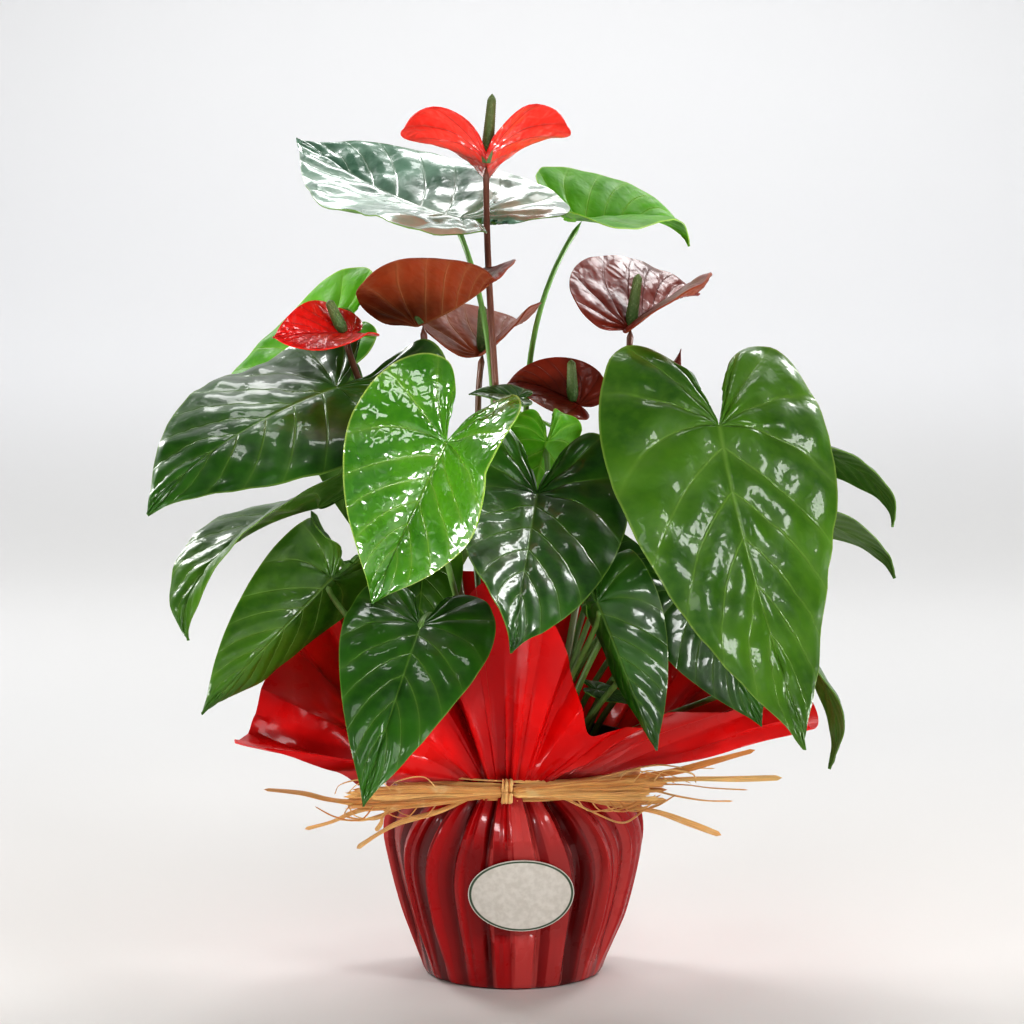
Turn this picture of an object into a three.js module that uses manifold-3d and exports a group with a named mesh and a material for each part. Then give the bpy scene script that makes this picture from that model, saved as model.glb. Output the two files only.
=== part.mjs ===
// Potted anthurium in a red film wrap with a raffia tie.
// Millimetres, +Z up. The origin is the centre of the wrap's foot, -Y is the front.
import * as THREE from 'three';
import { mergeVertices } from 'three/addons/utils/BufferGeometryUtils.js';
import Module from 'manifold-3d';

const wasm = await Module();
wasm.setup();

// Pot and soil
const potHeight = 136;
const potTopRadius = 69;
const potFootRadius = 47.5;
const potWall = 1.6;
const potRimHeight = 12;
const potRimOut = 1.2;
const potFloor = 2;
const potSides = 40;
const drainHoleRadius = 5;
const drainHoleRing = 30;
const drainHoles = 6;
const drainHoleSides = 10;
const soilTop = 120;
const soilGap = 0.5;
const soilSides = 32;
const touch = 0.3;

// Film wrap: a skirt round the pot (radius, height and pleat depth) and a collar above the tie
const filmThickness = 1.2;
const skirtProfile = [
  [50, 0, 0], [54, 10, 0.8], [64, 45, 1.6], [73, 84, 1.6], [73, 101, 1.6], [69.6, 112, 0.8],
  [69.6, 121, 0.8],
];
const pleats = 24;
const collarFoot = 122.2;
const collarFootRadius = 70.5;
const collarSides = 54;
const collarSteps = [0, 0.18, 0.4, 0.7, 1];
const collarGather = 2.5;

// Heading of a rim point round the pot (0 is the front, 90 the right), its radius and its height
const collarRim = [
  [-12, 97, 231], [0, 96, 228], [13, 97, 214], [24, 87, 172], [31, 84, 149], [47, 103, 158],
  [62, 130, 155], [75, 150, 157], [88, 175, 154], [101, 158, 178], [117, 134, 204], [133, 117, 217],
  [152, 102, 221], [172, 95, 223], [195, 98, 222], [215, 108, 220], [234, 118, 216], [254, 138, 184],
  [268, 148, 156], [283, 160, 142], [291, 128, 130], [299, 112, 125], [309, 105, 127], [321, 101, 168],
  [334, 96, 184],
];

// Raffia tie
const tieHeight = 116.8;
const bandRadius = 70.8;
const bandWidth = 8;
const bandThickness = 2.2;
const bandSides = 40;
const stripSteps = 6;
const knotPlace = [-3, -76, 118];
const knotSize = [9, 5, 10];

// Name sign: a blank oval card on the front of the skirt
const signCentre = [5, 58];
const signSize = [61, 42];
const signThickness = 0.8;
const signSides = 24;
const signRings = [0, 0.35, 0.7, 1];

// Foliage
const bladeThickness = 1.3;
const petioleRadius = 1.9;
const peduncleRadius = 2.1;
const stalkSides = 6;
const leafStalkSteps = 8;
const peduncleSteps = 9;

// A stalk's path: how far it leans and rises at first, and how long it runs straight to its blade
const stalkLean = 0.12;
const stalkRise = 0.45;
const stalkRun = 0.25;
const stalkUpright = 0.8;

// Where a stalk meets its blade: along the midrib, and a leaf stalk's end inside the blade
const stalkInset = 4;
const leafStalkSink = 0.2;
const peduncleTouch = 0.855;

// Spadix: its radius at the foot, at its widest and near its tip
const spadixFoot = 1.2;
const spadixWide = 3.6;
const spadixNarrow = 2.4;
const spadixSides = 8;
const spadixFoldShare = 0.88;

// Blade: a half blade's usual width, how far its lobes reach back and how its rows bow
const usualHalfWidth = 0.39;
const lobeReach = 0.3;
const rowBow = 0.1;

// Half outlines, across and along, for a blade that measures 1 from its petiole to its tip
const leafHalf = [
  [0.055, -0.17], [0.10, -0.27], [0.20, -0.335], [0.305, -0.275], [0.37, -0.13], [0.39, 0.04],
  [0.372, 0.22], [0.32, 0.41], [0.24, 0.60], [0.145, 0.77], [0.05, 0.91], [0, 1],
];
const spatheHalf = [
  [0.03, -0.08], [0.10, -0.20], [0.24, -0.25], [0.38, -0.16], [0.46, 0], [0.475, 0.18],
  [0.43, 0.38], [0.34, 0.58], [0.22, 0.76], [0.11, 0.89], [0.035, 0.96], [0, 1],
];

// Each leaf: where its blade joins the petiole, the way the blade heads (0 front, 90 right) and
// climbs, its roll, its length to the tip and its bends in degrees. foot is the petiole's place in
// the soil as radius and heading, bow pulls the upper petiole aside in millimetres.
const leaves = {
  leaf_top_left: {
    at: [-31, -2, 433], heading: -137, pitch: 11, roll: 0, length: 155, width: 1,
    droop: -18, tip: 5, foldLeft: 20, foldRight: 0, cup: 0, lobe: 0, twist: 18, sweep: 0,
    foot: [12, -100], bow: [42, -4, 0],
  },
  leaf_top_right: {
    at: [38, 78, 434], heading: 125, pitch: 6, roll: -5, length: 92, width: 1.25,
    droop: 12, tip: 50, foldLeft: 8, foldRight: 50, cup: -20, lobe: 40, twist: 0, sweep: 0,
    foot: [17, 128], bow: [-58, 4, 0],
  },
  leaf_left_tall: {
    at: [-105, 20, 366], heading: -120, pitch: -30, roll: 55, length: 110, width: 1,
    droop: -10, tip: 10, foldLeft: 10, foldRight: 10, cup: -10, lobe: 0, twist: -15, sweep: 0,
    foot: [22, -112], bow: [-60, -20, 0],
  },
  leaf_left_large: {
    at: [-98, -50, 339], heading: -46, pitch: -14, roll: 16, length: 147, width: 1.08,
    droop: 14, tip: 20, foldLeft: 0, foldRight: -8, cup: -8, lobe: 70, twist: 10, sweep: 8,
    foot: [30, -70],
  },
  leaf_left_drooping: {
    at: [-109, -45, 272], heading: -69, pitch: -10, roll: -20, length: 118, width: 0.95,
    droop: 48, tip: 45, foldLeft: 25, foldRight: 10, cup: -5, lobe: 30, twist: 23, sweep: 5,
    foot: [40, -82], bow: [12, 8, 0],
  },
  leaf_front_bright: {
    at: [-35, -128, 313], heading: -95, pitch: -65, roll: 60, length: 94, width: 1.42,
    droop: -5, tip: 12, foldLeft: 29, foldRight: 30, cup: -5, lobe: -45, twist: 50, sweep: 0,
    foot: [29, -28], bow: [-35, -10, -10],
  },
  leaf_left_low: {
    at: [-100, -68, 235], heading: -90, pitch: -46, roll: 80, length: 105, width: 0.85,
    droop: 0, tip: 10, foldLeft: 10, foldRight: -60, cup: -10, lobe: 90, twist: 0, sweep: 0,
    foot: [40, -52],
  },
  leaf_front_low: {
    at: [-49, -132, 216], heading: -8, pitch: -20, roll: 13, length: 119, width: 0.86,
    droop: 50, tip: 15, foldLeft: 3, foldRight: 9, cup: -10, lobe: 10, twist: -5, sweep: -5,
    foot: [37, -5], bow: [10, 46, 65],
  },
  leaf_front_inner: {
    at: [-50, -46, 238], heading: -10, pitch: -62, roll: -12, length: 66, width: 0.9,
    droop: 5, tip: 10, foldLeft: 0, foldRight: 0, cup: -15, lobe: 0, twist: 0, sweep: 0,
    foot: [32, -46],
  },
  leaf_centre: {
    at: [13, -56, 280], heading: -7, pitch: -33, roll: 5, length: 140, width: 0.95,
    droop: -10, tip: 15, foldLeft: 15, foldRight: 3, cup: -10, lobe: 30, twist: 35, sweep: 0,
    foot: [26, 8],
  },
  leaf_centre_small: {
    at: [19, -12, 307], heading: 198, pitch: -50, roll: 0, length: 85, width: 0.75,
    droop: 10, tip: 10, foldLeft: 25, foldRight: 30, cup: -10, lobe: 105, twist: 0, sweep: 0,
    foot: [18, 35],
  },
  leaf_right_large: {
    at: [111, -95, 320], heading: 12, pitch: -57, roll: 0, length: 183, width: 0.92,
    droop: 24, tip: 18, foldLeft: 2, foldRight: 0, cup: -15, lobe: -20, twist: 15, sweep: 22,
    foot: [30, 52],
  },
  leaf_right_upper: {
    at: [157, -20, 306], heading: 94, pitch: -10, roll: 10, length: 81, width: 1,
    droop: 40, tip: 50, foldLeft: 5, foldRight: 0, cup: -20, lobe: 10, twist: 8, sweep: 0,
    foot: [38, 114], bow: [0, -40, 0],
  },
  leaf_right_middle: {
    at: [151, 12, 267], heading: 100, pitch: -14, roll: 10, length: 86, width: 1,
    droop: 15, tip: 45, foldLeft: 8, foldRight: 3, cup: -12, lobe: 10, twist: 3, sweep: 0,
    foot: [40, 100],
  },
  leaf_right_hanging: {
    at: [153, -60, 200], heading: 100, pitch: -38, roll: -5, length: 83, width: 1,
    droop: 64, tip: 8, foldLeft: 3, foldRight: 3, cup: -13, lobe: 10, twist: 3, sweep: 0,
    foot: [41, 84], bow: [0, 20, 0],
  },
  leaf_right_low: {
    at: [46, -88, 224], heading: 90, pitch: -68, roll: -90, length: 88, width: 0.95,
    droop: 0, tip: 8, foldLeft: -70, foldRight: 10, cup: -8, lobe: -90, twist: 0, sweep: 0,
    foot: [37, 22],
  },
  leaf_right_under: {
    at: [98, -75, 229], heading: 90, pitch: -62, roll: -70, length: 85, width: 1,
    droop: 0, tip: 10, foldLeft: -20, foldRight: 10, cup: -10, lobe: 0, twist: 0, sweep: 0,
    foot: [40, 44],
  },
  leaf_right_inner: {
    at: [52, -8, 238], heading: 95, pitch: -25, roll: -60, length: 56, width: 1,
    droop: 15, tip: 10, foldLeft: 5, foldRight: 5, cup: -12, lobe: 10, twist: 0, sweep: 0,
    foot: [22, 68],
  },
  leaf_right_ground: {
    at: [48, -20, 166], heading: 100, pitch: -15, roll: -20, length: 28, width: 1,
    droop: 10, tip: 10, foldLeft: 5, foldRight: 5, cup: -12, lobe: 10, twist: 0, sweep: 0,
    foot: [36, 70],
  },
  leaf_centre_curled: {
    at: [2, -28, 333], heading: -85, pitch: 12, roll: 25, length: 27, width: 1.1,
    droop: 15, tip: 10, foldLeft: 10, foldRight: 10, cup: -10, lobe: 10, twist: 0, sweep: 0,
    foot: [19, -45], bow: [-30, 4, 0],
  },
  leaf_centre_back: {
    at: [22, 75, 311], heading: -110, pitch: 25, roll: -10, length: 42, width: 1,
    droop: 20, tip: 10, foldLeft: 10, foldRight: 10, cup: -10, lobe: 10, twist: 0, sweep: 0,
    foot: [14, 170], bow: [-14, -5, 0],
  },
  leaf_left_inner: {
    at: [-70, -8, 236], heading: -85, pitch: 5, roll: 0, length: 44, width: 1,
    droop: 15, tip: 10, foldLeft: 10, foldRight: 10, cup: -10, lobe: 10, twist: 0, sweep: 0,
    foot: [34, -110],
  },
  leaf_back_left: {
    at: [-85, 60, 328], heading: 190, pitch: -45, roll: 0, length: 105, width: 1,
    droop: 25, tip: 15, foldLeft: 8, foldRight: 8, cup: -12, lobe: 10, twist: 5, sweep: 0,
    foot: [28, -140],
  },
  leaf_back_middle: {
    at: [22, 100, 274], heading: 178, pitch: -35, roll: 5, length: 100, width: 0.95,
    droop: 20, tip: 15, foldLeft: 8, foldRight: 8, cup: -12, lobe: 0, twist: -5, sweep: 5,
    foot: [24, 176],
  },
  leaf_back_right: {
    at: [110, 60, 292], heading: 165, pitch: -15, roll: 5, length: 130, width: 1,
    droop: 20, tip: 15, foldLeft: 10, foldRight: 5, cup: -12, lobe: 10, twist: 5, sweep: 0,
    foot: [29, 142],
  },
  leaf_back_low_left: {
    at: [-50, 86, 258], heading: 180, pitch: -20, roll: 0, length: 88, width: 1,
    droop: 60, tip: 15, foldLeft: 5, foldRight: 5, cup: -10, lobe: 10, twist: 0, sweep: 0,
    foot: [36, -160],
  },
  leaf_back_low_right: {
    at: [123, 84, 246], heading: 165, pitch: -10, roll: 0, length: 100, width: 1,
    droop: 75, tip: 15, foldLeft: 5, foldRight: 5, cup: -10, lobe: 10, twist: 0, sweep: 0,
    foot: [38, 132], bow: [-15, -10, 30],
  },
};

// Each flower: where spathe, spadix and peduncle meet, then the spathe's pose as for a leaf, and the
// spadix's length and lean. seat brings the peduncle closer under a spathe that curls up.
const flowers = {
  top: {
    at: [-15, -22, 466], heading: 180, pitch: -40, roll: 0, length: 78, width: 1.52,
    droop: -90, tip: 0, foldLeft: 58, foldRight: 56, cup: -50, lobe: -20, twist: 0, sweep: 0,
    spadix: [39, 5, 90], foot: [3, 0], bow: [-1, 28, 0], seat: 0.5,
  },
  left: {
    at: [-90, -50, 369], heading: -60, pitch: 3, roll: 4, length: 47, width: 1.05,
    droop: 10, tip: 0, foldLeft: 30, foldRight: 0, cup: 8, lobe: 10, twist: 50, sweep: 0,
    spadix: [20, 25, -90], foot: [21, -82], bow: [20, 26, 0],
  },
  dark_left: {
    at: [-53, -40, 373], heading: 53, pitch: 18, roll: 13, length: 92, width: 1.08,
    droop: 4, tip: 14, foldLeft: 34, foldRight: 62, cup: -20, lobe: 12, twist: 20, sweep: -42,
    spadix: [25, 25, -90], foot: [25, -57],
  },
  dark_middle: {
    at: [-19, 25, 355], heading: 160, pitch: 20, roll: 0, length: 74, width: 1.18,
    droop: 10, tip: 5, foldLeft: 36, foldRight: 31, cup: 7, lobe: 12, twist: -5, sweep: 0,
    spadix: [28, 10, 180], foot: [13, -160], bow: [-14, 10, 0],
  },
  dark_right: {
    at: [64, -30, 371], heading: 152, pitch: 18, roll: 0, length: 98, width: 1,
    droop: 10, tip: 10, foldLeft: 35, foldRight: 55, cup: -10, lobe: 0, twist: 0, sweep: 0,
    spadix: [30, 10, 60], foot: [25, 96], bow: [-4, 45, 0],
  },
  dark_centre: {
    at: [38, 30, 326], heading: -110, pitch: 30, roll: 30, length: 50, width: 1,
    droop: 32, tip: 15, foldLeft: 45, foldRight: 20, cup: -5, lobe: 10, twist: 10, sweep: 0,
    spadix: [25, 14, -10], foot: [14, 72], bow: [16, 8, 0],
  },
};

// A rolled young spathe on its own stalk
const bud = {
  at: [89, -10, 335], length: 26, radius: 3.6, lean: [0.25, -0.1, 1],
  foot: [26, 120], bow: [0, 45, 0],
};

// Raffia ends beside the knot: the route, width and thickness of each strip in the two bundles
const leftBundle = [
  { route: [[-8.5, -76, 118], [-45, -78, 116], [-93, -75, 113]], width: 15, thickness: 3 },
  { route: [[-30, -77.4, 117], [-95, -77, 113], [-135, -70, 117]], width: 4, thickness: 1.2 },
  { route: [[-30, -77.4, 116], [-85, -74, 107], [-116, -62, 94]], width: 3, thickness: 1.2 },
  { route: [[-20, -77, 117], [-62, -78, 101], [-87, -66, 84]], width: 3.5, thickness: 1.2 },
];
const rightBundle = [
  { route: [[2.5, -76, 118], [40, -78, 119], [84, -75, 119]], width: 15, thickness: 3 },
  { route: [[30, -77.6, 120], [100, -76, 125], [148, -70, 124]], width: 5, thickness: 1.2 },
  { route: [[30, -77.6, 120], [90, -76, 130], [134, -70, 139]], width: 4, thickness: 1.2 },
  { route: [[20, -77, 118], [78, -76, 106], [116, -64, 92]], width: 3.5, thickness: 1.2 },
];

// Finishes
const finish = (color, roughness) =>
  new THREE.MeshStandardMaterial({ color, roughness, metalness: 0 });
const leafGreen = finish(0x245c14, 0.25);
const stemGreen = finish(0x5c7a26, 0.45);
const spatheRed = finish(0xd81b1b, 0.25);
const spatheDark = finish(0x5a1a14, 0.22);
const spadixGreen = finish(0x50702c, 0.6);
const potBlack = finish(0x141414, 0.5);
const soilBrown = finish(0x1c1410, 0.95);
const filmRed = finish(0xd40008, 0.2);
const raffiaTan = finish(0xb98a4e, 0.8);
const signWhite = finish(0xf2f2ea, 0.4);

const radians = THREE.MathUtils.degToRad;
const vector = (x, y, z) => new THREE.Vector3(x, y, z);
const onCircle = (radius, heading, z) =>
  vector(radius * Math.sin(radians(heading)), -radius * Math.cos(radians(heading)), z);

// Solids and meshes
function toSolid(geometry) {
  const plain = geometry.clone();
  plain.deleteAttribute('normal');
  plain.deleteAttribute('uv');
  const merged = mergeVertices(plain, 1e-3);
  const triangles = [];
  const index = merged.index.array;
  for (let i = 0; i < index.length; i += 3) {
    const [a, b, c] = [index[i], index[i + 1], index[i + 2]];
    if (a !== b && b !== c && c !== a) triangles.push(a, b, c);
  }
  const solid = new wasm.Mesh({
    numProp: 3,
    vertProperties: Float32Array.from(merged.attributes.position.array),
    triVerts: Uint32Array.from(triangles),
  });
  return new wasm.Manifold(solid);
}

function toGeometry(solid) {
  const { vertProperties, triVerts, numProp } = solid.getMesh();
  const geometry = new THREE.BufferGeometry();
  const positions = new Float32Array((vertProperties.length / numProp) * 3);
  for (let i = 0; i < positions.length / 3; i++) {
    positions.set(vertProperties.subarray(i * numProp, i * numProp + 3), i * 3);
  }
  geometry.setAttribute('position', new THREE.BufferAttribute(positions, 3));
  geometry.setIndex(Array.from(triVerts));
  geometry.computeVertexNormals();
  return geometry;
}

// A sheet given as rows of points becomes a closed solid of the given thickness
function thicken(rows, thickness, closedRound = false) {
  const points = [];
  const keys = new Map();
  const indexOf = (p) => {
    const key = p.toArray().map((v) => Math.round(v * 500)).join();
    if (!keys.has(key)) {
      keys.set(key, points.length);
      points.push(p.clone());
    }
    return keys.get(key);
  };
  const triangles = [];
  const add = (a, b, c) => {
    if (a !== b && b !== c && c !== a) triangles.push([a, b, c]);
  };
  for (let r = 0; r + 1 < rows.length; r++) {
    const count = rows[r].length;
    for (let c = 0; c < count - (closedRound ? 0 : 1); c++) {
      const next = (c + 1) % count;
      const [p, q, u, v] = [rows[r][c], rows[r][next], rows[r + 1][c], rows[r + 1][next]].map(indexOf);
      add(p, q, v);
      add(p, v, u);
    }
  }
  const normals = points.map(() => vector(0, 0, 0));
  for (const [a, b, c] of triangles) {
    const normal = points[b].clone().sub(points[a]).cross(points[c].clone().sub(points[a]));
    for (const i of [a, b, c]) normals[i].add(normal);
  }
  const half = thickness / 2;
  const upper = points.map((p, i) => p.clone().addScaledVector(normals[i].normalize(), half));
  const lower = points.map((p, i) => p.clone().addScaledVector(normals[i], -half));
  const edges = new Set();
  for (const [a, b, c] of triangles) {
    for (const [from, to] of [[a, b], [b, c], [c, a]]) {
      if (!edges.delete(`${to},${from}`)) edges.add(`${from},${to}`);
    }
  }
  const count = points.length;
  const index = [];
  for (const [a, b, c] of triangles) index.push(a, b, c, count + a, count + c, count + b);
  for (const edge of edges) {
    const [from, to] = edge.split(',').map(Number);
    index.push(to, from, count + from, to, count + from, count + to);
  }
  const geometry = new THREE.BufferGeometry();
  geometry.setFromPoints([...upper, ...lower]);
  geometry.setIndex(index);
  return geometry;
}

function tube(curve, radius, sides, steps) {
  const section = new THREE.Shape();
  for (let i = 0; i < sides; i++) {
    const angle = (2 * Math.PI * i) / sides;
    const [x, y] = [radius * Math.cos(angle), radius * Math.sin(angle)];
    if (i === 0) section.moveTo(x, y);
    else section.lineTo(x, y);
  }
  section.closePath();
  return new THREE.ExtrudeGeometry(section, { steps, bevelEnabled: false, extrudePath: curve });
}

// Blades: a heart-shaped sheet that bends along its midrib, folds across it and lifts its lobes
function bladeFrame({ heading, pitch, roll }) {
  const [h, p, r] = [heading, pitch, roll].map(radians);
  const along = vector(Math.cos(p) * Math.sin(h), -Math.cos(p) * Math.cos(h), Math.sin(p));
  const flatUp = vector(-Math.sin(p) * Math.sin(h), Math.sin(p) * Math.cos(h), Math.cos(p));
  const flatSide = flatUp.clone().cross(along);
  const up = flatUp.clone().multiplyScalar(Math.cos(r)).addScaledVector(flatSide, Math.sin(r));
  const side = flatSide.clone().multiplyScalar(Math.cos(r)).addScaledVector(flatUp, -Math.sin(r));
  return { along, up, side };
}

function bladeSurface(half, pose) {
  const corners = half.map(([x, y]) => vector(x, y, 0));
  const outline = new THREE.CatmullRomCurve3(corners, false, 'catmullrom', 0.5);
  const { along, up, side } = bladeFrame(pose);
  const { length, width } = pose;
  const bends = [pose.droop, pose.tip, pose.lobe, pose.twist, pose.sweep];
  const [droop, tip, lobe, twist, sweep] = bends.map(radians);
  const [foldLeft, foldRight, cup] = [pose.foldLeft, pose.foldRight, pose.cup].map(radians);
  const bend = (u) => -(droop * u + tip * u ** 4);
  const spineSteps = 24;
  const spine = [vector(0, 0, 0)];
  const tangent = (u) => along.clone().multiplyScalar(Math.cos(bend(u)) * Math.cos(sweep * u))
    .addScaledVector(side, Math.cos(bend(u)) * Math.sin(sweep * u))
    .addScaledVector(up, Math.sin(bend(u)));
  for (let i = 1; i <= spineSteps; i++) {
    const middle = tangent((i - 0.5) / spineSteps);
    spine.push(spine[i - 1].clone().addScaledVector(middle, length / spineSteps));
  }
  const spineAt = (u) => {
    const x = u * spineSteps;
    const i = Math.min(Math.floor(x), spineSteps - 1);
    return spine[i].clone().lerp(spine[i + 1], x - i);
  };
  const bendAcross = cup / (usualHalfWidth * length * width) || 1e-7;

  // hand is -1 or 1, across 0 to 1 from midrib to margin, t 0 to 1 from the sinus to the tip
  return (hand, across, t) => {
    const edge = outline.getPoint(t);
    const middle = Math.max(0, (t - 0.5) / 0.5);
    const [dx, dy] = [edge.x * width, edge.y - middle];
    const bow = rowBow * across * (1 - across) * Math.sin(Math.PI * t);
    const x = (dx * across + dy * bow) * length;
    const v = middle + dy * across - dx * bow;
    const forward = Math.min(Math.max(v, 0), 1);
    const back = Math.max(-v, 0);
    const lift = (lobe * back) / lobeReach || 1e-6;
    const place = spineAt(forward)
      .addScaledVector(along, (-Math.sin(lift) / lift) * back * length)
      .addScaledVector(up, ((1 - Math.cos(lift)) / lift) * back * length);
    const normal = v >= 0
      ? up.clone().multiplyScalar(Math.cos(bend(forward))).addScaledVector(along, -Math.sin(bend(forward)))
      : up.clone().multiplyScalar(Math.cos(lift)).addScaledVector(along, Math.sin(lift));
    const swept = side.clone().multiplyScalar(Math.cos(sweep * forward))
      .addScaledVector(along, -Math.sin(sweep * forward));
    const turn = twist * forward;
    const lateral = swept.clone().multiplyScalar(Math.cos(turn)).addScaledVector(normal, -Math.sin(turn));
    const outward = normal.clone().multiplyScalar(Math.cos(turn)).addScaledVector(swept, Math.sin(turn));
    const fold = hand < 0 ? foldLeft : foldRight;
    const reach = (Math.sin(fold + bendAcross * x) - Math.sin(fold)) / bendAcross;
    const rise = (Math.cos(fold) - Math.cos(fold + bendAcross * x)) / bendAcross;
    place.addScaledVector(lateral, hand * reach).addScaledVector(outward, rise);
    return place.add(vector(...pose.at));
  };
}

const bladeRows = [0, 0.12, 0.25, 0.38, 0.5, 0.62, 0.74, 0.87, 1];
const bladeColumns = [-1, -0.5, 0, 0.5, 1];

function bladeSolid(half, pose) {
  const point = bladeSurface(half, pose);
  const rows = bladeRows.map((t) => bladeColumns.map((a) => point(a < 0 ? -1 : 1, Math.abs(a), t)));
  return toSolid(thicken(rows, bladeThickness));
}

// A stalk rises from its place in the soil and arrives under its blade
function stalk(radius, pose, end, arrival, steps) {
  const foot = onCircle(pose.foot[0], pose.foot[1], 0);
  const reach = Math.hypot(end.x - foot.x, end.y - foot.y);
  const tilt = Math.atan2(stalkLean * reach, stalkRise * (end.z - soilTop));
  const start = foot.setZ(soilTop + touch + radius * Math.sin(tilt));
  const rise = end.clone().sub(start);
  const low = start.clone().add(vector(stalkLean * rise.x, stalkLean * rise.y, stalkRise * rise.z));
  const high = end.clone().addScaledVector(arrival, -stalkRun * rise.length());
  high.add(vector(...(pose.bow ?? [0, 0, 0])));
  return tube(new THREE.CubicBezierCurve3(start, low, high, end), radius, stalkSides, steps);
}

const arrivalOf = (up) => up.clone().add(vector(0, 0, stalkUpright)).normalize();

function leafSolid(pose) {
  const { along, up } = bladeFrame(pose);
  const end = vector(...pose.at).addScaledVector(along, stalkInset).addScaledVector(up, leafStalkSink);
  const petiole = toSolid(stalk(petioleRadius, pose, end, arrivalOf(up), leafStalkSteps));
  return bladeSolid(leafHalf, pose).add(petiole);
}

const anthurium = new THREE.Group();

function addNode(name, geometry, material) {
  const mesh = new THREE.Mesh(geometry, material);
  mesh.name = name;
  anthurium.add(mesh);
}

// Pot: a tapered shell with a rim band and drain holes
function potGeometry() {
  const floor = filmThickness + touch;
  const slope = (potTopRadius - potFootRadius) / (potHeight - floor);
  const wallRadius = (z) => potFootRadius + slope * (z - floor);
  const rimFoot = potHeight - potRimHeight;
  const profile = [
    [0, floor], [potFootRadius, floor], [wallRadius(rimFoot), rimFoot],
    [wallRadius(rimFoot) + potRimOut, rimFoot], [potTopRadius + potRimOut, potHeight],
    [potTopRadius - potWall, potHeight], [wallRadius(rimFoot) - potWall, rimFoot],
    [potFootRadius - potWall, floor + potFloor], [0, floor + potFloor],
  ].map(([r, z]) => new THREE.Vector2(r, z));
  let pot = toSolid(upright(new THREE.LatheGeometry(profile, potSides)));
  for (let i = 0; i < drainHoles; i++) {
    const angle = (2 * Math.PI * i) / drainHoles;
    const hole = new THREE.CylinderGeometry(drainHoleRadius, drainHoleRadius, 4 * potFloor, drainHoleSides);
    hole.rotateX(Math.PI / 2);
    hole.translate(drainHoleRing * Math.cos(angle), drainHoleRing * Math.sin(angle), floor + potFloor / 2);
    pot = pot.subtract(toSolid(hole));
  }
  return toGeometry(pot);
}

// A lathe turns about Y, the part's upright axis is Z
function upright(geometry) {
  return geometry.rotateX(Math.PI / 2);
}

function soilGeometry() {
  const foot = filmThickness + touch + potFloor + touch;
  const slope = (potTopRadius - potFootRadius) / (potHeight - filmThickness - touch);
  const footRadius = potFootRadius - potWall - soilGap;
  const profile = [
    [0, foot], [footRadius, foot], [footRadius + slope * (soilTop - foot), soilTop], [0, soilTop],
  ].map(([r, z]) => new THREE.Vector2(r, z));
  return toGeometry(toSolid(upright(new THREE.LatheGeometry(profile, soilSides))));
}

// Film skirt: a pleated cup round the pot
function skirtGeometry() {
  const count = pleats * 2;
  const ring = (radius, z, depth) => Array.from({ length: count }, (_, i) =>
    onCircle(radius + (i % 2 ? depth : -depth), (360 * i) / count, z));
  const inset = filmThickness / 2;
  const rows = [ring(0, inset, 0), ...skirtProfile.map(([radius, z, depth]) =>
    ring(radius - inset, Math.max(z, inset), depth))];
  return toGeometry(toSolid(thicken(rows, filmThickness, true)));
}

// Film collar: flares from the tie to the free rim of the sheet
function collarGeometry() {
  const corners = collarRim.map(([heading, r, z]) => onCircle(r, heading, z));
  const rim = new THREE.CatmullRomCurve3(corners, true);
  const rows = collarSteps.map((u) => Array.from({ length: collarSides }, (_, i) => {
    const edge = rim.getPoint(i / collarSides);
    const heading = THREE.MathUtils.radToDeg(Math.atan2(edge.x, -edge.y));
    const foot = onCircle(collarFootRadius, heading, collarFoot);
    const place = foot.clone().lerp(edge, u);
    const gather = collarGather * Math.sin(Math.PI * u) * (i % 2 ? 1 : -1);
    const out = vector(edge.x, edge.y, 0).normalize();
    return place.addScaledVector(out, gather * 0.5).add(vector(0, 0, -gather));
  }));
  return toGeometry(toSolid(thicken(rows, filmThickness, true)));
}

function bandGeometry() {
  const [inner, outer] = [bandRadius, bandRadius + bandThickness];
  const [low, high] = [tieHeight - bandWidth / 2, tieHeight + bandWidth / 2];
  const profile = [[inner, low], [outer, low], [outer, high], [inner, high], [inner, low]]
    .map(([r, z]) => new THREE.Vector2(r, z));
  return toGeometry(toSolid(upright(new THREE.LatheGeometry(profile, bandSides))));
}

// Spadix: a tapered spike that stands a touch clear of the spathe, leaning towards a heading
function spadixGeometry(pose) {
  const [length, leanAngle, leanHeading] = pose.spadix;
  const profile = [
    [0, 0], [spadixFoot, 0], [spadixWide, 0.25 * length], [spadixNarrow, 0.9 * length], [0, length],
  ].map(([r, z]) => new THREE.Vector2(r, z));
  const spike = upright(new THREE.LatheGeometry(profile, spadixSides));
  const lean = onCircle(Math.sin(radians(leanAngle)), leanHeading, Math.cos(radians(leanAngle)));
  spike.applyQuaternion(new THREE.Quaternion().setFromUnitVectors(vector(0, 0, 1), lean));
  const { along, up } = bladeFrame(pose);
  const fold = radians(Math.max(pose.foldLeft, pose.foldRight, 0));
  const spread = lean.clone().cross(up).length() + spadixFoldShare * Math.tan(fold);
  const clear = bladeThickness / 2 + touch + spadixFoot * spread;
  const place = vector(...pose.at).addScaledVector(along, stalkInset).addScaledVector(up, clear);
  return spike.translate(place.x, place.y, place.z);
}

function peduncleGeometry(pose) {
  const { along, up } = bladeFrame(pose);
  const arrival = arrivalOf(up);
  const spread = arrival.clone().cross(up).length();
  const { seat = 0 } = pose;
  const clear = bladeThickness / 2 + peduncleTouch - seat + peduncleRadius * spread;
  const end = vector(...pose.at).addScaledVector(along, stalkInset).addScaledVector(up, -clear);
  return stalk(peduncleRadius, pose, end, arrival, peduncleSteps);
}

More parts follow.
